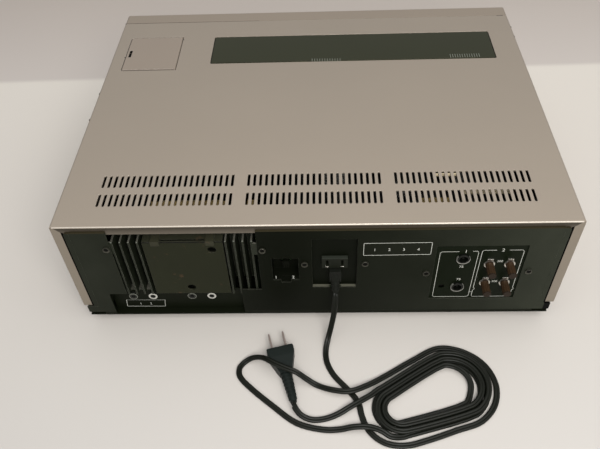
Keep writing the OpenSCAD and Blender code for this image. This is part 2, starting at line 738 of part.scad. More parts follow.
module outlet_plate() color([0.07, 0.075, 0.07]) {
    wall = 1.2;
    difference() {
        union() {
            block(recess[0] - wall, recess[1] + wall, recess_y - wall, rear_y,
                  recess[2] - wall, recess[3] + wall);
            block(recess[0] - 11, recess[1] + 10.2, rear_y - wall, rear_y,
                  base_z + 68, base_z + 78);
        }
        block(recess[0], recess[1], recess_y, rear_y + over, recess[2], recess[3]);
        block(outlet_x - outlet_w / 2 - 0.2, outlet_x + outlet_w / 2 + 0.2,
              recess_y - 3, recess_y + 1, outlet_z - outlet_h / 2 - 0.2, outlet_z + outlet_h / 2 + 0.2);
        block(cord_exit[0] - bush_w / 2 + 1, cord_exit[0] + bush_w / 2 - 1, recess_y - 3,
              recess_y + 1, bush_top - bush_h + 1, bush_top - 1);
        block(cord_exit[0] - bush_w / 2, cord_exit[0] + bush_w / 2, recess_y, rear_y + over,
              recess[2] - 3, recess[2] + over);
        for (i = [2, 3])
            rod_y(rear_screw_spots[i][0], rear_screw_spots[i][1], rear_y - 3, rear_y + 1, 1.5);
    }
}

module ac_outlet() color([0.06, 0.06, 0.06])
    difference() {
        union() {
            block(outlet_x - outlet_w / 2, outlet_x + outlet_w / 2, recess_y - 12, rear_y + 0.6,
                  outlet_z - outlet_h / 2, outlet_z + outlet_h / 2);
            block(outlet_x - outlet_w / 2 - 3, outlet_x + outlet_w / 2 + 3, recess_y - 12,
                  recess_y - 1.2, outlet_z - outlet_h / 2, outlet_z + outlet_h / 2 + 3);
        }
        for (i = [-1, 1])
            block(outlet_x + i * blade_pitch / 2 - 1.1, outlet_x + i * blade_pitch / 2 + 1.1,
                  recess_y - 10, rear_y + 2, outlet_z - 3.8, outlet_z + 3.8);
    }

module cord_bushing() color([0.05, 0.05, 0.05]) {
    x = cord_exit[0];
    w = bush_w / 2;
    block(x - w, x + w, recess_y, rear_y + 4.5, bush_top - bush_h, bush_top);
    block(x - w + 1.2, x + w - 1.2, recess_y - 9, recess_y, bush_top - bush_h + 1.2, bush_top - 1.2);
    translate(relief_from) rotate([180 + relief_tilt, 0, 0]) rotate_extrude() {
        polygon([[0, 0], [4.2, 0], [3.1, relief_len], [0, relief_len]]);
        for (i = [0 : 3]) translate([0, 8 + i * 2.4]) square([4 - i * 0.14, 1.2]);
    }
}

// Aerial terminals

coax_spots = [[-124.8, base_z + 77], [-124.8, base_z + 39]];
post_xs = [-147.8, -164.8];
post_zs = [base_z + 69.5, base_z + 44.7];
post_spots = [[post_xs[0], post_zs[0]], [post_xs[1], post_zs[0]],
              [post_xs[0], post_zs[1]], [post_xs[1], post_zs[1]]];
plate_t = 1.2;
can_y = rear_y - 40;

module antenna_plate() color([0.06, 0.065, 0.06])
    difference() {
        block(antenna[0] - 11, antenna[1] + 11, rear_y - plate_t, rear_y,
              antenna[2] - 3, antenna[3] + 3);
        for (p = coax_spots) rod_y(p[0], p[1], rear_y - 3, rear_y + 1, coax_r - 0.8);
        for (p = post_spots) rod_y(p[0], p[1], rear_y - 3, rear_y + 1, stud_r + 0.3);
        rod_y(antenna[1] - 9.8, base_z + 39, rear_y - 3, rear_y + 1, 2.6);
        for (i = [4, 5])
            rod_y(rear_screw_spots[i][0], rear_screw_spots[i][1], rear_y - 3, rear_y + 1, 1.5);
    }

module coax_sockets() color([0.55, 0.55, 0.53])
    for (p = coax_spots) {
        difference() {
            union() {
                rod_y(p[0], p[1], rear_y, rear_y + 1.8, coax_r);
                rod_y(p[0], p[1], rear_y - 12, rear_y, coax_r - 1);
            }
            rod_y(p[0], p[1], rear_y - 9, rear_y + 3, coax_r - 2);
        }
        rod_y(p[0], p[1], rear_y - 10, rear_y, 0.8);
    }

module terminal_studs() color([0.72, 0.70, 0.64])
    for (p = post_spots) {
        rod_y(p[0], p[1], rear_y - 8, rear_y + post_reach - 2, stud_r);
        rod_y(p[0], p[1], rear_y, rear_y + 1, cap_r + 1.1);
        block(p[0] - 2.4, p[0] + 2.4, rear_y + 0.2, rear_y + 1, p[1], p[1] + cap_r + 3.4);
    }

module terminal_cap(p) color([0.30, 0.18, 0.12])
    difference() {
        rod_y(p[0], p[1], rear_y + 1.3, rear_y + post_reach, cap_r);
        rod_y(p[0], p[1], rear_y, rear_y + post_reach - 1.6, stud_r + run_gap);
        for (a = [0 : 36 : 324])
            translate([p[0], 0, p[1]]) rotate([0, a, 0])
                rod_y(cap_r + 0.35, 0, rear_y + 5, rear_y + post_reach + 1, 0.7);
    }

module terminal_cap_1() terminal_cap(post_spots[0]);
module terminal_cap_2() terminal_cap(post_spots[1]);
module terminal_cap_3() terminal_cap(post_spots[2]);
module terminal_cap_4() terminal_cap(post_spots[3]);

module tuner_module() color([0.74, 0.70, 0.58]) {
    x0 = antenna[0] - 4;
    x1 = antenna[1] + 4;
    y1 = rear_y - plate_t;
    z0 = antenna[2] + 4;
    z1 = antenna[3];
    difference() {
        block(x0, x1, can_y, y1, z0, z1);
        block(x0 + 1, x1 - 1, can_y + 1, y1 - 1, z0 + 1, z1 - 1);
        for (p = coax_spots) rod_y(p[0], p[1], y1 - 3, y1 + 1, coax_r - 0.6);
        for (p = post_spots) rod_y(p[0], p[1], y1 - 3, y1 + 1, stud_r + 0.6);
    }
    // Raised ribs of the lid and the aligned trimmer holes' collars
    for (i = [-1, 0, 1])
        block((x0 + x1) / 2 + i * 24 - 1, (x0 + x1) / 2 + i * 24 + 1, can_y + 4, y1 - 4, z1, z1 + 1);
    // Feet that stand on the circuit board
    for (i = [0.15, 0.85], y = [can_y + 3, y1 - 8])
        block(x0 + i * (x1 - x0) - 3, x0 + i * (x1 - x0) + 3, y, y + 5, board_z + 1.6, z0);
}

// Circuit board and transformer

board = [-202, 50, rear_y - 90, rear_y - 4];
plug_row_back = 86;
plug_row_d = 6;
plug_row_w = 22;
plug_row_pitch = 28;
core_x = 120;
core_y = rear_y - core_back;

module main_board() color([0.20, 0.33, 0.16]) {
    top = board_z + 1.6;
    block(board[0], board[1], board[2], board[3], board_z, top);
    // Electrolytic capacitors
    for (i = [0 : 5]) post(-80 + i * 21, rear_y - 28 - 9 * (i % 2), top, top + 20 + 4 * (i % 3), 6);
    for (i = [0 : 3]) post(-88 + i * 30, rear_y - 76, top, top + 12, 4);
    // Integrated circuits
    for (i = [0 : 4])
        block(-84 + i * 25, -66 + i * 25, rear_y - 62, rear_y - 55, top, top + 4);
    // Shielded block and connector rows
    block(-8, 30, rear_y - 52, rear_y - 20, top, top + 30);
    for (i = [0 : 2])
        translate([board[0] + 12 + i * plug_row_pitch, rear_y - plug_row_back, top])
            cube([plug_row_w, plug_row_d, 8]);
}

module power_transformer() color([0.35, 0.30, 0.26]) {
    z0 = floor_z + 4;
    // Laminated core with its two windows
    difference() {
        block(core_x - core_w / 2, core_x + core_w / 2, core_y - core_d / 2, core_y + core_d / 2,
              z0 + 2, z0 + 2 + core_h);
        for (i = [-1, 1])
            block(core_x + i * core_w / 4 - core_w / 12, core_x + i * core_w / 4 + core_w / 12,
                  core_y - core_d / 2 - 1, core_y + core_d / 2 + 1, z0 + 2 + core_h / 6,
                  z0 + 2 + core_h * 5 / 6);
    }
    // Winding round the middle limb
    difference() {
        towards_rear(core_y - core_d / 2 - 8, core_d + 16)
            translate([core_x, z0 + 2 + core_h / 2])
                soft_rect(core_w * 2 / 3 - 0.6, core_h * 2 / 3 - 0.6, 3);
        block(core_x - core_w / 6, core_x + core_w / 6, core_y - core_d / 2, core_y + core_d / 2,
              z0, z0 + 2 + core_h);
    }
    block(core_x - core_w / 6, core_x + core_w / 6, core_y - core_d / 2, core_y + core_d / 2,
          z0 + 2 + core_h / 6, z0 + 2 + core_h * 5 / 6);
    // Mounting frame
    block(core_x - core_w / 2 - 12, core_x + core_w / 2 + 12, core_y - core_d / 2,
          core_y + core_d / 2, z0, z0 + 2);
}

// Tape deck

deck_top = deck_z + deck_t;
deck_edge = [deck_x - 112, deck_x + 112, front_y + 26, front_y + 246];
drum_mid = [deck_x, front_y + drum_y];
reel_mid_y = front_y + reel_y;
reel_pin_r = 2.5;
capstan_across = 64;
capstan_ahead = 37;
capstan_rise = 34;
capstan_at = [deck_x + capstan_across, drum_mid[1] - capstan_ahead];
capstan_r = 2;
flywheel_z = floor_z + 11.8;
flywheel_t = 9;
roller_r = 7.5;
roller_gap = 0.3;
pinch_swing = 30;
pinch_arm_len = 24;
pinch_closed = [capstan_at[0] + capstan_r + roller_r + roller_gap, capstan_at[1]];
pinch_pivot = [pinch_closed[0], pinch_closed[1] + pinch_arm_len];
pinch_rest = pinch_pivot + pinch_arm_len * [sin(pinch_swing), -cos(pinch_swing)];
guide_across = 36;
guide_ahead = 61;
guide_from = [guide_across, drum_mid[1] - guide_ahead];
guide_lean = 8 / 68;
guide_unit = [guide_lean, 1] / norm([guide_lean, 1]);
guide_pin_r = 2.4;
heads_across = 59;
heads_ahead = 12;
heads_at = [deck_x + heads_across, drum_mid[1] - heads_ahead];

module deck_plate() color(steel) {
    difference() {
        block(deck_edge[0], deck_edge[1], deck_edge[2], deck_edge[3], deck_z, deck_top);
        post(drum_mid[0], drum_mid[1], deck_z - 1, deck_top + 1, 20);
        post(capstan_at[0], capstan_at[1], deck_z - 1, deck_top + 1, 7.2);
        // Curved tracks of the two tape guides
        for (i = [-1, 1])
            translate([0, 0, deck_z - 1]) linear_extrude(deck_t + 2)
                translate([deck_x + i * (guide_from[0] + guide_unit[0] * guide_travel / 2),
                           guide_from[1] + guide_unit[1] * guide_travel / 2])
                    rotate(-i * atan2(guide_unit[0], guide_unit[1]))
                        long_hole(2 * guide_pin_r + 0.2, guide_travel + 2 * guide_pin_r + 0.4);
        // Lightening windows at the front
        for (i = [-1, 0, 1])
            block(deck_x + i * 62 - 22, deck_x + i * 62 + 22, deck_edge[2] + 10, deck_edge[2] + 26,
                  deck_z - 1, deck_top + 1);
    }
    for (i = [-1, 1]) post(deck_x + i * reel_pitch / 2, reel_mid_y, deck_top, deck_top + 14, reel_pin_r);
    post(pinch_pivot[0], pinch_pivot[1], deck_top, deck_top + 14, 2);
}

// Draws what belongs to the leaning drum in the drum's own frame.
module on_drum() translate([drum_mid[0], drum_mid[1], deck_top + 5]) rotate([0, -drum_tilt, 0])
    children();

module lower_drum() color([0.78, 0.79, 0.80]) {
    difference() {
        on_drum() {
            cylinder(h = 17, r = drum_r);
            cylinder(h = 38, r = 3);
            translate([0, 0, -2]) cylinder(h = 3, r = drum_r - 4);
        }
        // Ledge that guides the tape's lower edge
        on_drum() difference() {
            translate([0, 0, 6]) cylinder(h = 12, r = drum_r + 2);
            translate([0, 0, 5]) cylinder(h = 14, r = drum_r - 0.5);
        }
    }
    // Foot on the deck plate
    difference() {
        post(drum_mid[0], drum_mid[1], deck_top, deck_top + 6, drum_r - 5);
        on_drum() cylinder(h = 20, r = drum_r + 2);
    }
}

module upper_drum() color([0.82, 0.83, 0.84])
    on_drum() difference() {
        union() {
            translate([0, 0, 17.4]) cylinder(h = 15, r = drum_r - 0.5);
            translate([0, 0, 32]) cylinder(h = 3, r = 9);
        }
        translate([0, 0, 10]) cylinder(h = 40, r = 3 + run_gap);
        // Windows of the two video heads
        for (a = [0, 180]) rotate(a)
            translate([drum_r - 4, -3, 17]) cube([6, 6, 4]);
        translate([0, 0, 30]) difference() {
            cylinder(h = 4, r = drum_r - 6);
            cylinder(h = 4, r = 14);
        }
    }

module capstan() color([0.70, 0.71, 0.72])
    translate([capstan_at[0], capstan_at[1], 0]) {
        post(0, 0, flywheel_z - 4, deck_top + capstan_rise, capstan_r);
        difference() {
            post(0, 0, flywheel_z, flywheel_z + flywheel_t, 29);
            for (a = [0 : 60 : 300])
                rotate(a) post(18, 0, flywheel_z - 1, flywheel_z + flywheel_t + 1, 5);
        }
    }

module capstan_housing() color([0.30, 0.30, 0.29])
    difference() {
        union() {
            post(capstan_at[0], capstan_at[1], flywheel_z + flywheel_t + 3, deck_top + 8, 7);
            post(capstan_at[0], capstan_at[1], deck_z - 4, deck_z, 15);
        }
        post(capstan_at[0], capstan_at[1], flywheel_z, deck_top + 20, capstan_r + run_gap);
    }

module reel_table(x) color([0.20, 0.20, 0.21])
    translate([x, reel_mid_y, deck_top]) difference() {
        union() {
            translate([0, 0, 0.3]) cylinder(h = 5, r = reel_r);
            translate([0, 0, 0.3]) cylinder(h = 8, r = 12);
            translate([0, 0, 0.3]) cylinder(h = 22, r = 6);
            translate([0, 0, 22]) cylinder(h = 4, r1 = 6, r2 = 2.5);
            for (a = [0, 120, 240]) rotate(a) translate([5, -1, 6]) cube([3.6, 2, 15]);
        }
        translate([0, 0, -1]) cylinder(h = 15.4, r = reel_pin_r + run_gap);
    }

module supply_reel() reel_table(deck_x - reel_pitch / 2);
module takeup_reel() reel_table(deck_x + reel_pitch / 2);

module pinch_arm() color([0.66, 0.67, 0.68]) {
    z0 = deck_top + 8.5;
    difference() {
        union() {
            post(pinch_pivot[0], pinch_pivot[1], deck_top + 0.3, z0 + 3, 5);
            translate([pinch_pivot[0], pinch_pivot[1], z0]) rotate(pinch_swing - 90)
                translate([0, -4, 0]) cube([pinch_arm_len, 8, 3]);
            post(pinch_rest[0], pinch_rest[1], z0, z0 + 3, 4);
        }
        post(pinch_pivot[0], pinch_pivot[1], deck_top, z0 + 8, 2 + run_gap);
    }
    post(pinch_rest[0], pinch_rest[1], z0 + 3, z0 + 23, 1.5);
    post(pinch_rest[0], pinch_rest[1], z0 + 21, z0 + 23, 2.6);
}

module pinch_roller() color([0.08, 0.08, 0.08])
    difference() {
        post(pinch_rest[0], pinch_rest[1], deck_top + 12, deck_top + 29, roller_r);
        post(pinch_rest[0], pinch_rest[1], deck_top + 11, deck_top + 30, 1.5 + run_gap);
        for (z = [12, 28]) translate([pinch_rest[0], pinch_rest[1], deck_top + z])
            difference() {
                cylinder(h = 2, r = 6, center = true);
                cylinder(h = 3, r = 3, center = true);
            }
    }

module guide_carriage(i) color([0.72, 0.66, 0.42])
    translate([deck_x + i * guide_from[0], guide_from[1], deck_top]) {
        translate([0, 0, 3.3]) cube([11, 13, 6], center = true);
        translate([0, 0, -deck_t - 5]) cylinder(h = deck_t + 8, r = guide_pin_r);
        translate([0, 0, -deck_t - 2.3]) cylinder(h = 2, r = 5);
        translate([0, 0, 6]) cylinder(h = 25, r = 2);
        for (z = [8, 25]) translate([0, 0, z]) cylinder(h = 2, r = 4.4);
        translate([0, 0, 10]) cylinder(h = 15, r = 3.6);
    }

module guide_carriage_left() guide_carriage(-1);
module guide_carriage_right() guide_carriage(1);

module tape_heads() color([0.50, 0.51, 0.52]) {
    // Sound and control head on its bracket
    block(heads_at[0] - 6, heads_at[0] + 6, heads_at[1] - 6, heads_at[1] + 6, deck_top, deck_top + 8);
    difference() {
        union() {
            block(heads_at[0] - 5, heads_at[0] + 5, heads_at[1] - 1, heads_at[1] + 6,
                  deck_top + 8, deck_top + 26);
            post(heads_at[0], heads_at[1] - 1, deck_top + 8, deck_top + 26, 5);
        }
        block(heads_at[0] - 6, heads_at[0] + 6, heads_at[1] - 7, heads_at[1] - 4.8,
              deck_top + 7, deck_top + 27);
    }
    // Erase head on the supply side
    x = deck_x - 66;
    y = drum_mid[1] - 20;
    block(x - 6, x + 6, y - 5, y + 7, deck_top, deck_top + 8);
    block(x - 5, x + 5, y - 4, y + 6, deck_top + 8, deck_top + 26);
}

// Cassette lift

holder_in = holder_w / 2;
cassette_low = slot_z + 0.6;
cassette_h = 25;
holder_y0 = front_y + 9;
holder_y1 = holder_y0 + holder_d;
holder_top = cassette_low + cassette_h + 1;
gap_side = 0.8;
slider_in = holder_in + holder_t + gap_side;
frame_in = slider_in + holder_t + gap_side + 0.6;
pin_r = 1.5;
pin_ys = [holder_y0 + 14, holder_y1 - 14];
pin_z = holder_top - 14;
stud_z = holder_top - 6;
frame_top = slot_z + slot_h + 4;

// A plate on each side of the deck's middle between two distances from it.
module side_plates(d0, d1, y0, y1, z0, z1)
    for (i = [-1, 1])
        block(deck_x + min(i * d0, i * d1), deck_x + max(i * d0, i * d1), y0, y1, z0, z1);

module cassette_holder() color([0.68, 0.69, 0.70]) {
    side_plates(holder_in, holder_in + holder_t, holder_y0, holder_y1,
                cassette_low - holder_t, holder_top + holder_t);
    side_plates(holder_in - 12, holder_in + holder_t, holder_y0, holder_y1,
                cassette_low - holder_t, cassette_low);
    side_plates(holder_in - 8, holder_in, holder_y1 - holder_t, holder_y1,
                cassette_low, holder_top);
    difference() {
        block(deck_x - holder_in, deck_x + holder_in, holder_y0 + 26, holder_y1,
              holder_top, holder_top + holder_t);
        for (i = [-1, 1])
            block(deck_x + i * 48 - 30, deck_x + i * 48 + 30, holder_y0 + 36, holder_y1 - 10,
                  holder_top - 1, holder_top + holder_t + 1);
    }
    for (i = [-1, 1], y = pin_ys)
        rod_x(deck_x + min(i * (holder_in + holder_t), i * (slider_in + holder_t + 0.4)),
              deck_x + max(i * (holder_in + holder_t), i * (slider_in + holder_t + 0.4)),
              y, pin_z, pin_r);
}

module cassette_slider() color([0.60, 0.61, 0.62]) {
    low = pin_z - tray_drop - 8;
    slot_low = pin_z - tray_drop - pin_r - 0.1;
    bar_z = holder_top + holder_t + 0.6;
    difference() {
        side_plates(slider_in, slider_in + holder_t, holder_y0, holder_y1, low, bar_z + 1.4);
        for (y = pin_ys)
            block(deck_x - slider_in - 9, deck_x + slider_in + 9, y - pin_r - 0.1, y + pin_r + 0.1,
                  slot_low, pin_z + pin_r + 0.1);
        block(deck_x - slider_in - 9, deck_x + slider_in + 9, pin_ys[0] + 8, pin_ys[1] - 8,
              low + 8, pin_z - 2);
    }
    block(deck_x - slider_in, deck_x + slider_in, holder_y1 - 10, holder_y1, bar_z, bar_z + 1.4);
    for (i = [-1, 1], y = pin_ys)
        rod_x(deck_x + min(i * (slider_in + holder_t), i * (frame_in + holder_t + 1)),
              deck_x + max(i * (slider_in + holder_t), i * (frame_in + holder_t + 1)),
              y, stud_z, pin_r);
}

module lift_frame() color([0.55, 0.56, 0.57]) {
    y0 = deck_edge[2] + 2;
    y1 = holder_y1 + tray_travel + 12;
    difference() {
        side_plates(frame_in, frame_in + holder_t, y0 - 16, y1, deck_top + 1.4, frame_top);
        block(deck_x - frame_in - 9, deck_x + frame_in + 9, pin_ys[0] - pin_r - 0.1,
              pin_ys[1] + tray_travel + pin_r + 0.1, stud_z - pin_r - 0.1, stud_z + pin_r + 0.1);
        for (k = [0 : 2])
            block(deck_x - frame_in - 9, deck_x + frame_in + 9, y0 + 8 + k * 46,
                  y0 + 40 + k * 46, deck_top + 14, stud_z - 12);
    }
    side_plates(frame_in, frame_in + 9, y0, y1, deck_top, deck_top + 1.4);
    block(deck_x - frame_in, deck_x + frame_in, y1 - 8, y1, frame_top - 1.4, frame_top);
}

// Mains lead. The free stretches follow points on the table; the coil follows a rule.

coil_mid = [-92, 244];
coil_turn = 204.5;
coil_half = 26;
coil_far_r = 31.4;
coil_knot_r = 23.4;
coil_turns = 2;
coil_rings = 24;
coil_shift = [1.2, -0.8];
coil_tuck = 3.6;
layer_1 = cord_t / 2 + 0.1;
layer_2 = layer_1 + cord_t + 0.6;
coil_last = (2 * coil_turns + 0.5) * coil_rings + 1;

// The lead from its bushing, round the coil, over the plug's neck and back to the coil.
lead_points = [
    [-16.2, 175.6, 30], [-13.6, 180.8, 16.5], [-10.6, 187.4, 6.2], [-8.6, 196.5, 1.9],
    [-9.2, 208, 1.5], [-15, 221.5, 1.5], [-27.5, 236.5, 1.5], [-35.5, 248.5, 1.5],
    [-37.8, 260, 1.5], [-41.5, 270.8, 1.5], [-48.6, 279.5, 1.5], [-58.5, 284.9, 1.5],
    [-73, 286, 1.5], [-92, 281, 1.5], [-115, 273, 1.5], [-136, 265.3, 1.5],
    [-149.5, 250.5, 1.5], [-153.8, 231.5, 1.5], [-147, 212, 1.5], [-131, 199, 1.5],
    [-110, 195, 1.5], [-86, 207, 1.5], [-62, 222, 1.9], [-44, 233.3, 4.4],
    [-28, 239.6, 5.4], [-13, 237.6, 4.6], [0, 231.9, 2.6], [9, 228.2, 7],
    [17.5, 225.2, 13], [27, 221.8, 14.4], [36.5, 217.3, 14.6], [45, 211.6, 13],
    [51.3, 207.6, 8.4], [57.8, 206, 4.2], [63.9, 208.5, 1.7], [67.8, 213.8, 1.5],
    [68, 220.4, 1.5], [65.1, 225.8, 1.5], [56, 235, 1.5], [38, 250.3, 1.5],
    [16, 266.8, 1.5], [-6, 272.4, 1.5], [-19, 272.6, 2.4], [-31, 271.6, 5],
    [-43, 271.8, 5.3], [-53, 275, 5.1], [-60.6, 279.1, 3.4]];
// The lead from the coil to the plug.
tail_points = [
    [-46, 243, 4.9], [-37, 248.5, 5.1], [-28, 253.8, 4.8], [-18, 259, 2.5],
    [-7, 262.8, 1.5], [3.8, 264, 2.4], [12.5, 261.2, 4.6]];

function unit(v) = v / norm(v);
function on_coil_axes(a, b, z) =
    [coil_mid[0] + a * cos(coil_turn) - b * sin(coil_turn),
     coil_mid[1] + a * sin(coil_turn) + b * cos(coil_turn), z];
// The innermost half turn is tucked in further, because there the lead climbs to its upper layer.
function coil_drawn_in(u) =
    u < coil_turns ? coil_pitch * u
    : u < coil_turns + 0.5
        ? coil_pitch * coil_turns
          + coil_tuck * min(1, (u - coil_turns) / 0.14, (coil_turns + 0.5 - u) / 0.14)
        : coil_pitch * (2 * coil_turns + 0.5 - u);
function coil_climb(u) = min(max((u - coil_turns - 0.14) / 0.22, 0), 1);
function coil_point(k) =
    let (angle = 360 / coil_rings * (k - 6.5),
         u = k / coil_rings,
         far = cos(angle) > 0,
         r = (far ? coil_far_r : coil_knot_r) - coil_drawn_in(u),
         climb = coil_climb(u))
    on_coil_axes((far ? coil_half : -coil_half) + r * cos(angle) + coil_shift[0] * climb,
                 r * sin(angle) + coil_shift[1] * climb,
                 layer_1 + (layer_2 - layer_1) * climb);
coil_path = [for (k = [0 : coil_last]) coil_point(k)];
coil_start_dir = unit(coil_path[1] - coil_path[0]);
coil_end_dir = unit(coil_path[coil_last] - coil_path[coil_last - 1]);

// The plug lies flat; its axis runs from the blades to the strain relief.
plug_at = [33, 198, plug_t / 2];
plug_turn = 105;
plug_dir = [cos(plug_turn), sin(plug_turn), 0];
plug_len = 26;
plug_relief = 27.5;
plug_end = plug_at + (plug_len + plug_relief) * plug_dir;

lead_path = concat([cord_exit, cord_exit + 1.6 * cord_w * relief_dir], lead_points,
                   [coil_path[0] - cord_w * coil_start_dir, coil_path[0]]);
tail_path = concat([coil_path[coil_last], coil_path[coil_last] + cord_w * coil_end_dir],
                   tail_points, [plug_end + 1.1 * cord_w * plug_dir, plug_end]);

// Half of the lead's width and thickness at each corner of its cross-section.
outline_6 = [[1, 0], [0.6, 1], [-0.6, 1], [-1, 0], [-0.6, -1], [0.6, -1]];
outline_8 = [[1, 0.45], [0.62, 1], [-0.62, 1], [-1, 0.45],
             [-1, -0.45], [-0.62, -1], [0.62, -1], [1, -0.45]];

// Sweeps the flat lead along a path, its width kept level.
module flat_cord(path, outline) {
    n = len(path);
    sides = len(outline);
    rings = [for (i = [0 : n - 1])
        let (t = unit(path[min(i + 1, n - 1)] - path[max(i - 1, 0)]),
             side = unit([t[1], -t[0], 0]),
             up = cross(side, t))
        [for (c = outline) path[i] + side * (c[0] * cord_w / 2) + up * (c[1] * cord_t / 2)]];
    points = [for (ring = rings) each ring];
    walls = [for (i = [0 : n - 2], j = [0 : sides - 1])
        let (a = i * sides + j, b = i * sides + (j + 1) % sides)
        each [[a, a + sides, b], [b, a + sides, b + sides]]];
    start = [for (j = [1 : sides - 2]) [0, j, j + 1]];
    last = (n - 1) * sides;
    end = [for (j = [1 : sides - 2]) [last, last + j + 1, last + j]];
    polyhedron(points = points, faces = concat(walls, start, end));
}

module cord_lead() color([0.06, 0.07, 0.065]) flat_cord(lead_path, outline_8);
module cord_coil() color([0.06, 0.07, 0.065]) flat_cord(coil_path, outline_6);
module cord_tail() color([0.06, 0.07, 0.065]) flat_cord(tail_path, outline_8);

// Least gap between stretches of the coil that are half a turn or more apart.
function apart(p, q) =
    max(norm([p[0] - q[0], p[1] - q[1]]) - cord_w, abs(p[2] - q[2]) - cord_t);
coil_fine = [for (k = [0 : coil_last - 1], s = [0, 0.25, 0.5, 0.75])
             coil_path[k] * (1 - s) + coil_path[k + 1] * s];
coil_gap = min([for (i = [0 : len(coil_fine) - 1])
    for (j = [i + 40 : 1 : len(coil_fine) - 1]) apart(coil_fine[i], coil_fine[j])]);
echo(least_gap_in_the_coil = coil_gap);

// Draws in the plug's own frame: its axis along +X, its middle height at zero.
module on_plug() translate(plug_at) rotate(plug_turn) children();

module plug_body() color([0.06, 0.065, 0.06]) on_plug() {
    half = plug_w / 2;
    intersection() {
        translate([0, 0, -plug_t]) linear_extrude(2 * plug_t) difference() {
            polygon([[0, -half + 1.5], [1.5, -half], [7, -half], [14, -half + 2.5], [20, -7.5],
                     [plug_len, -5.2], [plug_len, 5.2], [20, 7.5], [14, half - 2.5], [7, half],
                     [1.5, half], [0, half - 1.5]]);
        }
        rotate([90, 0, 0]) linear_extrude(2 * plug_w, center = true)
            polygon([[0, -plug_t / 2 + 1], [1, -plug_t / 2], [10, -plug_t / 2],
                     [plug_len, -4.6], [plug_len, 4.6], [10, plug_t / 2], [1, plug_t / 2],
                     [0, plug_t / 2 - 1]]);
    }
    // Ribbed strain relief
    translate([plug_len - 0.01, 0, 0]) rotate([0, 90, 0]) rotate_extrude() {
        polygon([[0, 0], [4.2, 0], [2.9, plug_relief + 0.01], [0, plug_relief + 0.01]]);
        for (i = [0 : 6]) translate([0, 1.5 + i * 3.6]) square([5 - i * 0.22, 2]);
    }
}

module plug_blades() color([0.72, 0.68, 0.60]) on_plug()
    for (i = [-1, 1])
        difference() {
            union() {
                translate([-blade_len + 1.5, i * blade_pitch / 2 - 0.75, -3.15])
                    cube([blade_len - 1.5, 1.5, 6.3]);
                translate([-blade_len, i * blade_pitch / 2 - 0.4, -2.2])
                    cube([3, 0.8, 4.4]);
            }
            translate([-blade_len + 4.5, i * blade_pitch / 2, 0]) rotate([90, 0, 0])
                cylinder(h = 4, r = 1.5, center = true);
        }

base_pan();
top_cover();
front_panel();
rear_panel();
top_window();
hatch_lid();
preset_tray();
feet();
cover_screws();
rear_screws();
heat_sink();
transistor_plate();
jack_plate();
video_jacks();
audio_jacks();
channel_switch_body();
channel_switch_knob();
outlet_plate();
ac_outlet();
cord_bushing();
antenna_plate();
coax_sockets();
terminal_studs();
terminal_cap_1();
terminal_cap_2();
terminal_cap_3();
terminal_cap_4();
cord_lead();
cord_coil();
cord_tail();
plug_body();
plug_blades();
cassette_flap();
display_window();
power_button();
eject_button();
rewind_key();
stop_key();
play_key();
forward_key();
pause_key();
record_key();
deck_plate();
lower_drum();
upper_drum();
capstan();
capstan_housing();
supply_reel();
takeup_reel();
pinch_arm();
pinch_roller();
guide_carriage_left();
guide_carriage_right();
tape_heads();
lift_frame();
cassette_slider();
cassette_holder();
main_board();
power_transformer();
tuner_module();
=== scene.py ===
# %% [markdown]
# # A video cassette recorder, seen from behind and above
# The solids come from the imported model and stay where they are. This script gives them their finishes,
# lays the mains lead, prints the line frames, and adds the small things that only the eye needs.
# Lengths are in metres; `mm()` turns the millimetres of the drawing into them.

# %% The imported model
import math

import bmesh
import bpy
from mathutils import Matrix, Vector


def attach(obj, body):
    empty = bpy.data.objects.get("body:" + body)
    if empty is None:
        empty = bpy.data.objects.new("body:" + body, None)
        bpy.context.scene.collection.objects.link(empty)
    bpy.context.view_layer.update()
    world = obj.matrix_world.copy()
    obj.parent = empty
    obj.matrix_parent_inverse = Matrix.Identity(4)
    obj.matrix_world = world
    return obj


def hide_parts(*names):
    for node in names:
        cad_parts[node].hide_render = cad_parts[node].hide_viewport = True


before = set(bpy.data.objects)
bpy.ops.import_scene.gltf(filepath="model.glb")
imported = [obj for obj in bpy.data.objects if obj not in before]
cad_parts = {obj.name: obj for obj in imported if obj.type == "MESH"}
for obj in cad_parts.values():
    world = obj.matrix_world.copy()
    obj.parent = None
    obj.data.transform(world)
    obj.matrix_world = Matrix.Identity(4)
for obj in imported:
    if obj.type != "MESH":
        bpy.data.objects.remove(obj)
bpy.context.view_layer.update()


def mm(*values):
    """One length or a point given in millimetres, as metres."""
    return values[0] / 1000 if len(values) == 1 else Vector(values) / 1000


# %% [markdown]
# ## The camera
# The photographer stood behind the recorder and looked down at it. The place and the lens were worked out
# from the corners of the case, so they are fixed numbers here. The small roll is the tilt of the hand.

# %% Camera
def camera_basis(azimuth, elevation, roll):
    """The camera's right, up and back directions for angles in degrees."""
    a, e, r = (math.radians(x) for x in (azimuth, elevation, roll))
    back = Vector((math.sin(a) * math.cos(e), -math.cos(a) * math.cos(e), math.sin(e)))
    right = (-back).cross(Vector((0, 0, 1))).normalized()
    up = right.cross(-back)
    return (right * math.cos(r) + up * math.sin(r), up * math.cos(r) - right * math.sin(r), back)


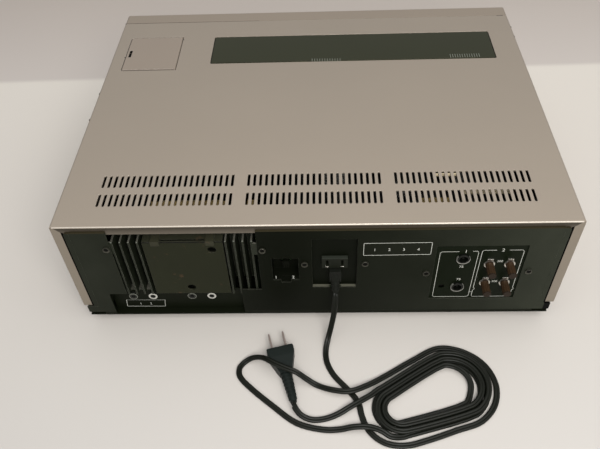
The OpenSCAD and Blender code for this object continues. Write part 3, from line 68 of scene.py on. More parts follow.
eye = bpy.data.cameras.new("eye")
eye.lens, eye.sensor_width = 39.3, 36.0
eye.clip_start, eye.clip_end = 0.02, 20
eye_object = bpy.data.objects.new("eye", eye)
bpy.context.scene.collection.objects.link(eye_object)
right, up, back = camera_basis(182.97, 46.85, -2.85)
place = mm(-7.5, 517.5, 510.8)
eye_object.matrix_world = Matrix((
    (right.x, up.x, back.x, place.x), (right.y, up.y, back.y, place.y),
    (right.z, up.z, back.z, place.z), (0, 0, 0, 1)))
bpy.context.scene.camera = eye_object
print("lens", eye.lens, "mm, camera", round(place.length, 3), "m from the origin")

# %% [markdown]
# ## The mains lead
# A real flat twin lead is two round wires moulded side by side, so its section is a figure of eight with a
# shallow groove. It could be a round curve, but then the groove and the flat lie would be lost. Here one
# long line is drawn through the same points as the solid, and a figure of eight is swept along it with its
# width kept level. The sweep becomes a mesh, so that the lead is one closed piece.

# %% The route of the lead
WIDE, THICK = 5.2, 2.8
relief_root, relief_long, relief_tilt = Vector((-17.4, 161, 68.8)), 18, math.radians(22)
relief_dir = Vector((0, math.sin(relief_tilt), -math.cos(relief_tilt)))
lead_exit = relief_root + relief_long * relief_dir
LEAD = [
    (-16.2, 175.6, 30), (-13.6, 180.8, 16.5), (-10.6, 187.4, 6.2), (-8.6, 196.5, 1.9),
    (-9.2, 208, 1.5), (-15, 221.5, 1.5), (-27.5, 236.5, 1.5), (-35.5, 248.5, 1.5),
    (-37.8, 260, 1.5), (-41.5, 270.8, 1.5), (-48.6, 279.5, 1.5), (-58.5, 284.9, 1.5),
    (-73, 286, 1.5), (-92, 281, 1.5), (-115, 273, 1.5), (-136, 265.3, 1.5),
    (-149.5, 250.5, 1.5), (-153.8, 231.5, 1.5), (-147, 212, 1.5), (-131, 199, 1.5),
    (-110, 195, 1.5), (-86, 207, 1.5), (-62, 222, 1.9), (-44, 233.3, 4.4),
    (-28, 239.6, 5.4), (-13, 237.6, 4.6), (0, 231.9, 2.6), (9, 228.2, 7),
    (17.5, 225.2, 13), (27, 221.8, 14.4), (36.5, 217.3, 14.6), (45, 211.6, 13),
    (51.3, 207.6, 8.4), (57.8, 206, 4.2), (63.9, 208.5, 1.7), (67.8, 213.8, 1.5),
    (68, 220.4, 1.5), (65.1, 225.8, 1.5), (56, 235, 1.5), (38, 250.3, 1.5),
    (16, 266.8, 1.5), (-6, 272.4, 1.5), (-19, 272.6, 2.4), (-31, 271.6, 5),
    (-43, 271.8, 5.3), (-53, 275, 5.1), (-60.6, 279.1, 3.4)]
TAIL = [
    (-46, 243, 4.9), (-37, 248.5, 5.1), (-28, 253.8, 4.8), (-18, 259, 2.5), (-7, 262.8, 1.5),
    (3.8, 264, 2.4), (12.5, 261.2, 4.6)]

# %% The coil: two turns inwards on the table, then two and a half outwards on top of them
PER_TURN, TURNS = 24, 2  # points to a turn, turns of the lower layer
PITCH = 5.8  # each turn lies this far inside the last: the lead's width and a little air
STRAIGHT = 26  # half of the oval's straight sides
FAR_RADIUS, NEAR_RADIUS = 31.4, 23.4  # the outermost turn at the oval's two ends
COIL_MIDDLE, COIL_LIE = (-92, 244), math.radians(204.5)
LOWER_LAYER, LAYER_RISE = 1.5, 3.4  # height of the lead's middle, and how far the upper layer is above


def coil_point(k):
    """Point k of the coil, in millimetres."""
    angle, turn = math.radians(360 / PER_TURN * (k - 6.5)), k / PER_TURN
    far = math.cos(angle) > 0
    if turn < TURNS:
        drawn = PITCH * turn
    elif turn < TURNS + 0.5:  # pulled further in while it climbs over itself
        drawn = PITCH * TURNS + 3.6 * min(1, (turn - TURNS) / 0.14, (TURNS + 0.5 - turn) / 0.14)
    else:
        drawn = PITCH * (2 * TURNS + 0.5 - turn)
    r = (FAR_RADIUS if far else NEAR_RADIUS) - drawn
    climb = min(max((turn - TURNS - 0.14) / 0.22, 0), 1)
    a = (STRAIGHT if far else -STRAIGHT) + r * math.cos(angle) + 1.2 * climb
    b = r * math.sin(angle) - 0.8 * climb
    return Vector((COIL_MIDDLE[0] + a * math.cos(COIL_LIE) - b * math.sin(COIL_LIE),
                   COIL_MIDDLE[1] + a * math.sin(COIL_LIE) + b * math.cos(COIL_LIE),
                   LOWER_LAYER + LAYER_RISE * climb))


COIL = [coil_point(k) for k in range(int((2 * TURNS + 0.5) * PER_TURN) + 2)]
print("coil:", len(COIL), "points")

# %% The whole route, smoothed: outlet, first stretch, coil, tail, plug
plug_face, plug_long, plug_turn = Vector((33, 198, 6)), 53.5, math.radians(105)
plug_dir = Vector((math.cos(plug_turn), math.sin(plug_turn), 0))
plug_end = plug_face + plug_long * plug_dir
start_dir = (COIL[1] - COIL[0]).normalized()
end_dir = (COIL[-1] - COIL[-2]).normalized()
route = ([lead_exit, lead_exit + 1.6 * WIDE * relief_dir] + [Vector(p) for p in LEAD]
         + [COIL[0] - WIDE * start_dir] + COIL + [COIL[-1] + WIDE * end_dir]
         + [Vector(p) for p in TAIL] + [plug_end + 1.1 * WIDE * plug_dir, plug_end])


def rounded(points, steps):
    """The points with a smooth line through them, a few steps between each two."""
    out = []
    for i in range(len(points) - 1):
        a, b = points[max(i - 1, 0)], points[i]
        c, d = points[i + 1], points[min(i + 2, len(points) - 1)]
        t1 = (b - a).length ** 0.5 or 1e-6
        t2 = t1 + (c - b).length ** 0.5
        t3 = t2 + ((d - c).length ** 0.5 or 1e-6)
        for s in range(steps):
            t = t1 + (t2 - t1) * s / steps
            ab, bc = a.lerp(b, t / t1), b.lerp(c, (t - t1) / (t2 - t1))
            cd = c.lerp(d, (t - t2) / (t3 - t2))
            abc, bcd = ab.lerp(bc, t / t2), bc.lerp(cd, (t - t1) / (t3 - t1))
            out.append(abc.lerp(bcd, (t - t1) / (t2 - t1)))
    return out + [points[-1]]


line = [p / 1000 for p in rounded(route, 5)]


# %% The lead's section, swept
def flat_curve(name, points, closed):
    """A curve of straight steps through the points."""
    curve = bpy.data.curves.new(name, "CURVE")
    curve.dimensions = "3D"
    spline = curve.splines.new("POLY")
    spline.points.add(len(points) - 1)
    for target, p in zip(spline.points, points):
        target.co = (*p, 1)
    spline.use_cyclic_u = closed
    made = bpy.data.objects.new(name, curve)
    bpy.context.scene.collection.objects.link(made)
    return made


def as_mesh(source, name):
    """The object's evaluated shape as a mesh object; the source is removed."""
    bpy.context.view_layer.update()
    shape = source.evaluated_get(bpy.context.evaluated_depsgraph_get())
    made = bpy.data.objects.new(name, bpy.data.meshes.new_from_object(shape))
    bpy.context.scene.collection.objects.link(made)
    bpy.data.objects.remove(source)
    return made


wire_radius, off_middle = THICK / 2, (WIDE - THICK) / 2
half_twin = [(off_middle + wire_radius * math.cos(a), wire_radius * math.sin(a)) for a in
             (math.radians(d) for d in (-128, -90, -60, -30, 0, 30, 60, 90, 128))]
half_twin.append((0.0, 0.82))  # the bottom of the groove
section = flat_curve("twin_section", [mm(s * x, s * y, 0) for s in (1, -1) for x, y in half_twin], True)
swept = flat_curve("lead_sweep", line, False)
swept.data.bevel_mode = "OBJECT"
swept.data.bevel_object = section
swept.data.use_fill_caps = True
swept.data.twist_mode = "Z_UP"
mains_lead = as_mesh(swept, "mains_lead")
bpy.data.objects.remove(section)
for face in mains_lead.data.polygons:
    face.use_smooth = len(face.vertices) == 4
print("lead mesh:", len(mains_lead.data.polygons), "faces")
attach(mains_lead, "chassis")
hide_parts("cord_lead", "cord_coil", "cord_tail")

# %% [markdown]
# ## Light
# The room has soft light from above, with a brighter side towards the camera. Point lamps would throw hard
# shadows, so both lamps are large areas: one overhead gives the wide, gentle gradient on the cover, and a
# smaller one behind and above the camera draws the bright line along the rolled rear edge, which a painted
# highlight on the roll's top strengthens. The world adds a soft fill that is brighter from above.

# %% Lamps
def softbox(name, at, aim, size, watts, tint=(1.0, 0.98, 0.95)):
    """A rectangular lamp at a point, turned to its aim."""
    lamp = bpy.data.lights.new(name, "AREA")
    lamp.shape, lamp.size, lamp.size_y = "RECTANGLE", size[0], size[1]
    lamp.energy, lamp.color = watts, tint
    lamp_object = bpy.data.objects.new(name, lamp)
    lamp_object.location = at
    lamp_object.rotation_mode = "QUATERNION"
    lamp_object.rotation_quaternion = (Vector(aim) - Vector(at)).to_track_quat("-Z", "Y")
    bpy.context.scene.collection.objects.link(lamp_object)
    print(name, watts, "W")


softbox("ceiling", (-0.33, 0.5, 1.35), (0, 0.05, 0.1), (2.2, 1.7), 10.6)
softbox("near_camera", (-0.16, 0.78, 0.70), (-0.02, 0.12, 0.10), (0.5, 0.4), 6.5)
world = bpy.data.worlds.new("room_air")
bpy.context.scene.world = world
world.use_nodes = True
sky = world.node_tree
height = sky.nodes.new("ShaderNodeSeparateXYZ")
sky.links.new(sky.nodes.new("ShaderNodeTexCoord").outputs["Generated"], height.inputs[0])
bright = sky.nodes.new("ShaderNodeMath")
bright.operation = "MULTIPLY_ADD"
bright.inputs[1].default_value, bright.inputs[2].default_value = 0.40, 0.26
sky.links.new(height.outputs["Z"], bright.inputs[0])
sky.links.new(bright.outputs[0], sky.nodes["Background"].inputs["Strength"])
sky.nodes["Background"].inputs["Color"].default_value = (0.97, 0.98, 1.0, 1)
bpy.context.scene.view_settings.view_transform = "Standard"

# %% [markdown]
# ## Shared finishes
# Real surfaces here have much in common: a fine grain, edges that are a little rounded and rubbed, and some
# dust where they face up. The same nodes could be laid out again in each material, but then a change would
# have to be made in each. So every effect is a node group, built once and placed with its own values.

# %% Node helpers
def group(name, inputs, outputs):
    """An empty shader group with its sockets; returns the tree, its entry and its exit."""
    tree = bpy.data.node_groups.new(name, "ShaderNodeTree")
    for label, kind, value in inputs:
        socket = tree.interface.new_socket(label, in_out="INPUT", socket_type=kind)
        if value is not None:
            socket.default_value = value
    for label, kind in outputs:
        tree.interface.new_socket(label, in_out="OUTPUT", socket_type=kind)
    return tree, tree.nodes.new("NodeGroupInput"), tree.nodes.new("NodeGroupOutput")


def math_node(tree, kind, a, b=None, clamp=False):
    """A math node whose inputs are sockets or numbers; returns its output."""
    node = tree.nodes.new("ShaderNodeMath")
    node.operation, node.use_clamp = kind, clamp
    for slot, value in zip(node.inputs, (a, b)):
        if isinstance(value, bpy.types.NodeSocket):
            tree.links.new(value, slot)
        elif value is not None:
            slot.default_value = value
    return node.outputs[0]


def times(tree, a, b, clamp=False):
    """Two values multiplied; of two masks, where both are."""
    return math_node(tree, "MULTIPLY", a, b, clamp)


def scaled(tree, value, gain, offset):
    """The value times a gain, plus an offset."""
    out = math_node(tree, "MULTIPLY_ADD", value, gain)
    out.node.inputs[2].default_value = offset
    return out


def vector_node(tree, kind, a, b=None):
    """A vector math node whose inputs are sockets or triples; returns the node."""
    node = tree.nodes.new("ShaderNodeVectorMath")
    node.operation = kind
    for slot, value in zip(node.inputs, (a, b)):
        if isinstance(value, bpy.types.NodeSocket):
            tree.links.new(value, slot)
        elif value is not None:
            slot.default_value = value
    return node


def object_point(tree):
    """The point on the piece, in metres from the scene's origin."""
    return tree.nodes.new("ShaderNodeTexCoord").outputs["Object"]


def axis(tree, vector, name):
    """One component of a vector socket."""
    split = tree.nodes.new("ShaderNodeSeparateXYZ")
    tree.links.new(vector, split.inputs[0])
    return split.outputs[name]


def noise(tree, coordinates, scale, detail=3.0, roughness=0.55):
    """A noise texture on the given coordinates; scale is a number or a socket."""
    node = tree.nodes.new("ShaderNodeTexNoise")
    node.inputs["Detail"].default_value = detail
    node.inputs["Roughness"].default_value = roughness
    if isinstance(scale, bpy.types.NodeSocket):
        tree.links.new(scale, node.inputs["Scale"])
    else:
        node.inputs["Scale"].default_value = scale
    tree.links.new(coordinates, node.inputs["Vector"])
    return node.outputs["Fac"]


# %% Grain: fine unevenness and broad clouds
grain, enter, leave = group(
    "grain", [("Scale", "NodeSocketFloat", 900.0), ("Clouds", "NodeSocketFloat", 9.0)],
    [("Fine", "NodeSocketFloat"), ("Broad", "NodeSocketFloat")])
where = object_point(grain)
grain.links.new(noise(grain, where, enter.outputs["Scale"], 4.0, 0.65), leave.inputs["Fine"])
grain.links.new(noise(grain, where, enter.outputs["Clouds"], 4.0, 0.6), leave.inputs["Broad"])

# %% Rounded edges and the wear on them
edges, enter, leave = group(
    "edges", [("Radius", "NodeSocketFloat", 0.0004), ("Break", "NodeSocketFloat", 300.0)],
    [("Normal", "NodeSocketVector"), ("Wear", "NodeSocketFloat")])
bevel = edges.nodes.new("ShaderNodeBevel")
bevel.samples = 6
edges.links.new(enter.outputs["Radius"], bevel.inputs["Radius"])
surface = edges.nodes.new("ShaderNodeNewGeometry").outputs["Normal"]
match = vector_node(edges, "DOT_PRODUCT", bevel.outputs["Normal"], surface).outputs["Value"]
patchy = scaled(edges, noise(edges, object_point(edges), enter.outputs["Break"]), 3.2, -1.1)
bare = times(edges, math_node(edges, "SUBTRACT", 0.985, match, True), 9.0, True)
edges.links.new(times(edges, bare, patchy, True), leave.inputs["Wear"])
edges.links.new(bevel.outputs["Normal"], leave.inputs["Normal"])

# %% Dust on what faces up, with a few specks
dust, enter, leave = group(
    "dust", [("Amount", "NodeSocketFloat", 0.3)], [("Film", "NodeSocketFloat")])
where = object_point(dust)
upward = times(dust, axis(dust, dust.nodes.new("ShaderNodeNewGeometry").outputs["Normal"], "Z"), 1.0, True)
film = times(dust, upward, noise(dust, where, 60.0, 5.0, 0.7))
specks = math_node(dust, "SUBTRACT", noise(dust, where, 1400.0, 2.0), 0.68, True)
specks = times(dust, specks, 4.0)
film = math_node(dust, "ADD", film, times(dust, specks, upward))
dust.links.new(times(dust, film, enter.outputs["Amount"], True), leave.inputs["Film"])

# %% Haze: a lighter grey-green that grows towards the two ends of the rear
haze, enter, leave = group("haze", [("Amount", "NodeSocketFloat", 0.7)], [("Film", "NodeSocketFloat")])
where = object_point(haze)
off = math_node(haze, "ABSOLUTE", math_node(haze, "SUBTRACT", axis(haze, where, "X"), mm(30)))
thick = math_node(haze, "POWER", times(haze, off, 4.6), 1.4)
cloudy = math_node(haze, "ADD", noise(haze, where, 22.0, 5.0, 0.6), 0.5)
film = times(haze, thick, cloudy)
haze.links.new(times(haze, film, enter.outputs["Amount"], True), leave.inputs["Film"])

# %% Border: a line along the sides of a level rectangle
border, enter, leave = group(
    "border", [("Middle", "NodeSocketVector", None), ("Half", "NodeSocketVector", None),
               ("Width", "NodeSocketFloat", 0.0005)], [("Line", "NodeSocketFloat")])
where = object_point(border)
off = vector_node(border, "SUBTRACT", where, enter.outputs["Middle"])
off = vector_node(border, "ABSOLUTE", off.outputs[0])
off = vector_node(border, "SUBTRACT", off.outputs[0], enter.outputs["Half"]).outputs[0]
away = math_node(border, "MAXIMUM", axis(border, off, "X"), axis(border, off, "Y"))
away = math_node(border, "ABSOLUTE", away)
near = math_node(border, "SUBTRACT", 1.0, math_node(border, "DIVIDE", away, enter.outputs["Width"]), True)
border.links.new(near, leave.inputs["Line"])

# %% Ring: what lies within a radius of a row of axes that run to the rear
ring, enter, leave = group(
    "ring", [("Middle", "NodeSocketVector", None), ("Spread", "NodeSocketVector", None),
             ("Radius", "NodeSocketFloat", 0.003)], [("Inside", "NodeSocketFloat")])
where = object_point(ring)
off = vector_node(ring, "SUBTRACT", where, enter.outputs["Middle"])
off = vector_node(ring, "ABSOLUTE", off.outputs[0])
off = vector_node(ring, "SUBTRACT", off.outputs[0], enter.outputs["Spread"])
flat = vector_node(ring, "MULTIPLY", off.outputs[0], (1, 0, 1))
reach = vector_node(ring, "LENGTH", flat.outputs[0]).outputs["Value"]
ring.links.new(math_node(ring, "LESS_THAN", reach, enter.outputs["Radius"]), leave.inputs["Inside"])
print("groups:", [g.name for g in bpy.data.node_groups])


# %% [markdown]
# ## One way to make a finish
# Paint, moulded plastic, rubber and plated metal differ in colour, gloss and how much the edges show. The
# function below places the shared groups in a new material and mixes them, so each finish is one call.
# Plain values such as the coat's weight go straight on the shader, because the export reads them there.

# %% Finish
def mixed(tree, factor, a, b):
    """A colour mix; a and b are colours or sockets."""
    node = tree.nodes.new("ShaderNodeMix")
    node.data_type = "RGBA"
    if isinstance(factor, bpy.types.NodeSocket):
        tree.links.new(factor, node.inputs["Factor"])
    else:
        node.inputs["Factor"].default_value = factor
    for label, value in (("A", a), ("B", b)):
        slot = next(s for s in node.inputs if s.name == label and s.type == "RGBA")
        if isinstance(value, bpy.types.NodeSocket):
            tree.links.new(value, slot)
        else:
            slot.default_value = (*value, 1)
    return next(s for s in node.outputs if s.type == "RGBA")


def placed(made, shared, **values):
    """A shared group in a material, with its own values (lengths in metres); returns the node."""
    node = made.node_tree.nodes.new("ShaderNodeGroup")
    node.node_tree = shared
    for label, value in values.items():
        node.inputs[label].default_value = value
    return node


HAZE_COLOUR, DUST_COLOUR = (0.150, 0.165, 0.122), (0.42, 0.39, 0.34)


def finish(name, colour, rough, metallic=0.0, fine=900.0, clouds=9.0, shade=0.12, uneven=0.1, bump=0.02,
           radius=0.35, worn=None, dusty=0.0, hazy=0.0, coat=0.0, **more):
    """A material: fine and clouds scale the grain, shade and uneven say how far it changes colour and
    gloss, bump is its depth in mm, radius the edges' rounding in mm, worn the colour under worn paint."""
    made = bpy.data.materials.new(name)
    made.use_nodes = True
    tree = made.node_tree
    shader = tree.nodes["Principled BSDF"]
    shader.inputs["Metallic"].default_value = metallic
    shader.inputs["Coat Weight"].default_value = coat
    for label, value in more.items():
        shader.inputs[label.replace("_", " ").title().replace("Ior", "IOR")].default_value = value
    speckle = placed(made, grain, Scale=fine, Clouds=clouds)
    dark, light = [c * (1 - shade) for c in colour], [min(c * (1 + shade), 1) for c in colour]
    tone = mixed(tree, speckle.outputs["Broad"], dark, light)
    tone = mixed(tree, times(tree, speckle.outputs["Fine"], shade, True), tone, light)
    corner = placed(made, edges, Radius=mm(radius))
    if worn:
        tone = mixed(tree, corner.outputs["Wear"], tone, worn)
    if hazy:
        tone = mixed(tree, placed(made, haze, Amount=hazy).outputs["Film"], tone, HAZE_COLOUR)
    if dusty:
        tone = mixed(tree, placed(made, dust, Amount=dusty).outputs["Film"], tone, DUST_COLOUR)
    tree.links.new(tone, shader.inputs["Base Color"])
    gloss = scaled(tree, speckle.outputs["Broad"], uneven, rough - uneven / 2)
    tree.links.new(gloss, shader.inputs["Roughness"])
    relief = tree.nodes.new("ShaderNodeBump")
    relief.inputs["Strength"].default_value = 1.0
    relief.inputs["Distance"].default_value = mm(bump)
    tree.links.new(speckle.outputs["Fine"], relief.inputs["Height"])
    tree.links.new(corner.outputs["Normal"], relief.inputs["Normal"])
    tree.links.new(relief.outputs["Normal"], shader.inputs["Normal"])
    return made


def overlaid(made, factor, colour):
    """Mixes a further colour into a finish, as far as the factor says."""
    base = made.node_tree.nodes["Principled BSDF"].inputs["Base Color"]
    made.node_tree.links.new(mixed(made.node_tree, factor, base.links[0].from_socket, colour), base)


def above(made, name, limit, kind="GREATER_THAN"):
    """1 where one coordinate of the piece is above a limit in millimetres."""
    tree = made.node_tree
    return math_node(tree, kind, axis(tree, object_point(tree), name), mm(limit))


def below(made, name, limit):
    """1 where that coordinate is below the limit."""
    return above(made, name, limit, "LESS_THAN")


# %% Paint and black sheet of the case
champagne = finish("champagne_paint", (0.36, 0.305, 0.245), 0.40, metallic=0.35, fine=1600, clouds=5,
                   shade=0.05, uneven=0.08, bump=0.006, radius=0.5, worn=(0.66, 0.60, 0.52), coat=0.12,
                   coat_roughness=0.35)
champagne_moulded = finish("champagne_moulded", (0.315, 0.262, 0.207), 0.45, metallic=0.25, fine=1800,
                           clouds=6, shade=0.05, bump=0.006, radius=0.4)
lid_paint = finish("lid_paint", (0.345, 0.285, 0.23), 0.42, metallic=0.3, fine=1700, clouds=7, shade=0.05,
                   bump=0.006, radius=0.7, worn=(0.66, 0.60, 0.52))
panel_black = finish("panel_black", (0.0028, 0.0038, 0.0016), 0.46, fine=1500, clouds=12, shade=0.25,
                     bump=0.008, radius=0.4, worn=(0.07, 0.075, 0.058), dusty=0.05, hazy=0.14,
                     specular_ior_level=0.05)
pan_black = finish("pan_black", (0.0055, 0.007, 0.0035), 0.46, fine=1300, clouds=14, shade=0.25, bump=0.008,
                   radius=0.4, specular_ior_level=0.06)
recess_black = finish("recess_black", (0.0025, 0.0035, 0.0014), 0.5, fine=1500, clouds=16, shade=0.25,
                      bump=0.008, radius=0.3, dusty=0.1, specular_ior_level=0.07)
aerial_black = finish("aerial_black", (0.004, 0.0065, 0.0024), 0.45, fine=1500, clouds=14, shade=0.2,
                      bump=0.008, radius=0.3, specular_ior_level=0.07)
plate_black = finish("plate_black", (0.012, 0.0135, 0.0055), 0.44, fine=1500, clouds=18, shade=0.3, bump=0.01,
                     radius=0.35, worn=(0.10, 0.10, 0.08), dusty=0.05, hazy=0.03, specular_ior_level=0.1)
anodised = finish("black_anodised", (0.015, 0.018, 0.011), 0.42, fine=2200, clouds=14,
                  shade=0.2, bump=0.006, radius=0.3, worn=(0.22, 0.22, 0.18), dusty=0.3,
                  specular_ior_level=0.15)
print("finishes so far:", len(bpy.data.materials))

# %% Rubber, glass and moulded plastic
rubber = finish("black_rubber", (0.012, 0.013, 0.011), 0.62, fine=1200, shade=0.2, bump=0.02, dusty=0.15,
                specular_ior_level=0.2)
sheath = finish("lead_sheath", (0.0045, 0.0056, 0.0034), 0.38, fine=900, clouds=22, shade=0.25, bump=0.008,
                radius=0.1, dusty=0.015, specular_ior_level=0.2)
plug_black = finish("plug_black", (0.010, 0.0135, 0.012), 0.46, fine=1300, clouds=60, shade=0.3, bump=0.01,
                    radius=0.3, specular_ior_level=0.16)
smoked = finish("smoked_window", (0.016, 0.018, 0.008), 0.12, fine=700, clouds=4, shade=0.3, uneven=0.04,
                bump=0.002, radius=0.5, specular_ior_level=0.40, specular_tint=(1.0, 0.97, 0.60, 1.0))
dark_plastic = finish("dark_plastic", (0.014, 0.015, 0.012), 0.5, fine=1500, shade=0.2, bump=0.012,
                      radius=0.3, dusty=0.08, specular_ior_level=0.3)
dark_jack = finish("dark_jack", (0.014, 0.015, 0.012), 0.45, fine=1500, shade=0.2, bump=0.008, radius=0.2,
                   specular_ior_level=0.3)
white_plastic = finish("white_plastic", (0.46, 0.455, 0.41), 0.38, fine=900, shade=0.06, bump=0.004)
amber = finish("brown_cap", (0.036, 0.021, 0.011), 0.42, fine=600, shade=0.35, bump=0.006, radius=0.6,
               specular_ior_level=0.09)
bushing_black = finish("bushing_black", (0.006, 0.007, 0.005), 0.45, fine=1200, shade=0.2, bump=0.01,
                       radius=0.3, specular_ior_level=0.14)
outlet_black = finish("outlet_black", (0.008, 0.0095, 0.006), 0.42, fine=1400, shade=0.2, bump=0.006,
                      radius=0.3, specular_ior_level=0.12)
well_black = finish("well_black", (0.004, 0.0048, 0.0026), 0.5, fine=1400, shade=0.2, bump=0.006,
                    radius=0.25, specular_ior_level=0.08)
silver_plastic = finish("silver_key", (0.40, 0.385, 0.35), 0.36, metallic=0.3, fine=1800, shade=0.05,
                        bump=0.004, radius=0.5)
red_plastic = finish("red_key", (0.38, 0.045, 0.03), 0.36, fine=1800, shade=0.08, bump=0.004, radius=0.5)
print("finishes so far:", len(bpy.data.materials))

# %% Metals, the circuit board and the transformer's core
plated = finish("plated_steel", (0.60, 0.58, 0.53), 0.34, metallic=1.0, fine=1400, clouds=30, shade=0.12,
                uneven=0.16, bump=0.005)
socket_metal = finish("socket_metal", (0.30, 0.30, 0.27), 0.4, metallic=0.5, fine=1400, clouds=30,
                      shade=0.12, uneven=0.16, bump=0.005)
blade_metal = finish("blade_metal", (0.34, 0.28, 0.25), 0.36, metallic=0.45, fine=1200, clouds=40,
                     shade=0.14, uneven=0.2, bump=0.004)
dark_screw = finish("dark_screw", (0.055, 0.054, 0.040), 0.36, metallic=0.6, fine=1200, clouds=60, shade=0.3,
                    bump=0.006, radius=0.3, worn=(0.3, 0.29, 0.25))
zinc = finish("zinc_steel", (0.40, 0.40, 0.38), 0.42, metallic=1.0, fine=900, clouds=24, shade=0.1,
              uneven=0.18, bump=0.006)
turned = finish("turned_aluminium", (0.22, 0.22, 0.22), 0.44, metallic=1.0, fine=2400, clouds=20, shade=0.05,
                bump=0.003)
reel_grey = finish("reel_grey", (0.09, 0.09, 0.095), 0.45, fine=1500, shade=0.1, bump=0.01)
brass = finish("machined_brass", (0.55, 0.42, 0.19), 0.28, metallic=1.0, fine=1500, shade=0.1, bump=0.004)
board_green = finish("board_green", (0.05, 0.13, 0.04), 0.4, fine=300, clouds=60, shade=0.4, bump=0.03,
                     dusty=0.25)
core = finish("varnished_core", (0.12, 0.10, 0.08), 0.42, fine=900, clouds=40, shade=0.3, bump=0.02,
              dusty=0.2)
tinned = finish("tinned_can", (0.58, 0.54, 0.42), 0.36, metallic=0.9, fine=700, clouds=40, shade=0.16,
                uneven=0.2, bump=0.008, dusty=0.2)
print("finishes so far:", len(bpy.data.materials))

# %% Inks, and the near-black used for painted shade
ink = finish("white_ink", (0.50, 0.51, 0.46), 0.6, fine=2600, clouds=120, shade=0.2, bump=0.004,
             radius=0.02)
painted_shade_black = finish("painted_shade_black", (0.004, 0.004, 0.003), 0.6, fine=2600, shade=0.14, bump=0.004, radius=0.02,
              specular_ior_level=0.05)
dark_ink = finish("dark_ink", (0.03, 0.03, 0.028), 0.5, fine=2600, clouds=120, shade=0.14, bump=0.004,
                  radius=0.02)
print("plain finishes:", len(bpy.data.materials))

# %% [markdown]
# ## Marks laid over the finishes
# Some marks are painted shade and light: gaps, recesses and the flange under the roll are darkened where
# shade falls, and the top of the cover's roll is lightened where it catches the light. Others are the pieces'
# own colours, such as a second colour at one end, tape and rust. These could be painted on an image, but this
# scene has none. Here each mark is a mask from the piece's own coordinates, and a further colour is mixed in
# where the mask is 1.

# %% Painted shade in the gap round the hatch lid and round the window
overlaid(lid_paint, placed(lid_paint, border, Middle=mm(172, -92, 0), Half=mm(28.5, 31.5, 0),
                           Width=mm(0.9)).outputs["Line"], (0.02, 0.014, 0.009))
overlaid(smoked, placed(smoked, border, Middle=mm(-39.6, -96.3, 0), Half=mm(147.5, 25.4, 0),
                        Width=mm(0.7)).outputs["Line"], (0.004, 0.004, 0.003))

# %% The cover's rear flange: painted shade on the whole rear flange and more under the roll, a painted highlight on the roll, the mitred corners
COVER_HALF, COVER_TOP = 215, 130.0
tree = champagne.node_tree
where = object_point(tree)
inset = math_node(tree, "SUBTRACT", mm(COVER_HALF), math_node(tree, "ABSOLUTE", axis(tree, where, "X")))
drop = math_node(tree, "SUBTRACT", mm(COVER_TOP), axis(tree, where, "Z"))
mitre = math_node(tree, "SUBTRACT", times(tree, inset, 0.9), drop)
slit = math_node(tree, "LESS_THAN", math_node(tree, "ABSOLUTE", mitre), mm(0.42))
slit = times(tree, slit, above(champagne, "Y", 159.9))
slit = times(tree, slit, math_node(tree, "GREATER_THAN", drop, mm(2.2)))
shaded = times(tree, above(champagne, "Y", 159.6), math_node(tree, "GREATER_THAN", drop, mm(1.5)))
overlaid(champagne, times(tree, shaded, 0.40), (0.060, 0.056, 0.036))
# Darker painted shade of the roll's overhang only between the two mitres, and less of it further down
between = times(tree, math_node(tree, "GREATER_THAN", mitre, 0), shaded)
fading = math_node(tree, "MINIMUM", scaled(tree, drop, -62.0, 1.16), 0.93)
overlaid(champagne, times(tree, between, fading, True), (0.022, 0.015, 0.006))
# The top of the roll is lightened: a painted highlight
painted_roll_highlight = times(tree, above(champagne, "Y", 160.85), above(champagne, "Z", 129.1))
overlaid(champagne, painted_roll_highlight, (0.58, 0.53, 0.46))
overlaid(champagne, slit, (0.06, 0.05, 0.038))

# %% Jacks and aerial sockets: painted shade in the white jacks' bores and on their roots deep in the bay, light rims on the dark ones
overlaid(white_plastic, placed(white_plastic, ring, Middle=mm(122.45, 0, 30.8), Spread=mm(27.15, 0, 0),
                               Radius=mm(2.5)).outputs["Inside"], (0.01, 0.01, 0.009))
inside = placed(dark_jack, ring, Middle=mm(140.65, 0, 30.8), Spread=mm(27.15, 0, 0), Radius=mm(3.6))
rim = math_node(dark_jack.node_tree, "SUBTRACT", above(dark_jack, "Y", 156.2), inside.outputs["Inside"], True)
overlaid(dark_jack, rim, (0.20, 0.21, 0.175))
for rise in (85.75, 47.6):
    inside = placed(socket_metal, ring, Middle=mm(-124.8, 0, rise), Radius=mm(5.35))
    overlaid(socket_metal, inside.outputs["Inside"], (0.006, 0.007, 0.005))
overlaid(white_plastic, below(white_plastic, "Y", 156.1), (0.02, 0.021, 0.017))

# %% The outlet's lit upper edge and the lit ledge below its recess
overlaid(outlet_black, above(outlet_black, "Z", 86.4), (0.026, 0.030, 0.023))
overlaid(recess_black, below(recess_black, "Z", 48.1), (0.10, 0.10, 0.075))

# %% The rear panel: the dark end of its base strip, on the right from behind, and painted shade on its upper edge: the brown of the flange lip in the roll's shadow
tree = panel_black.node_tree
overlaid(panel_black, times(tree, below(panel_black, "X", -206.5), above(panel_black, "Y", 150)),
         (0.0008, 0.0008, 0.0006))
overlaid(panel_black, above(panel_black, "Z", 122.1), (0.030, 0.025, 0.013))

# %% The can's dark rear, the caps' browner tips, and the tape on the transformer's core
overlaid(tinned, above(tinned, "Y", 158.2), (0.004, 0.004, 0.003))
overlaid(amber, above(amber, "Y", 172.8), (0.022, 0.015, 0.010))
overlaid(core, above(core, "Z", 62.6), (0.60, 0.50, 0.26))
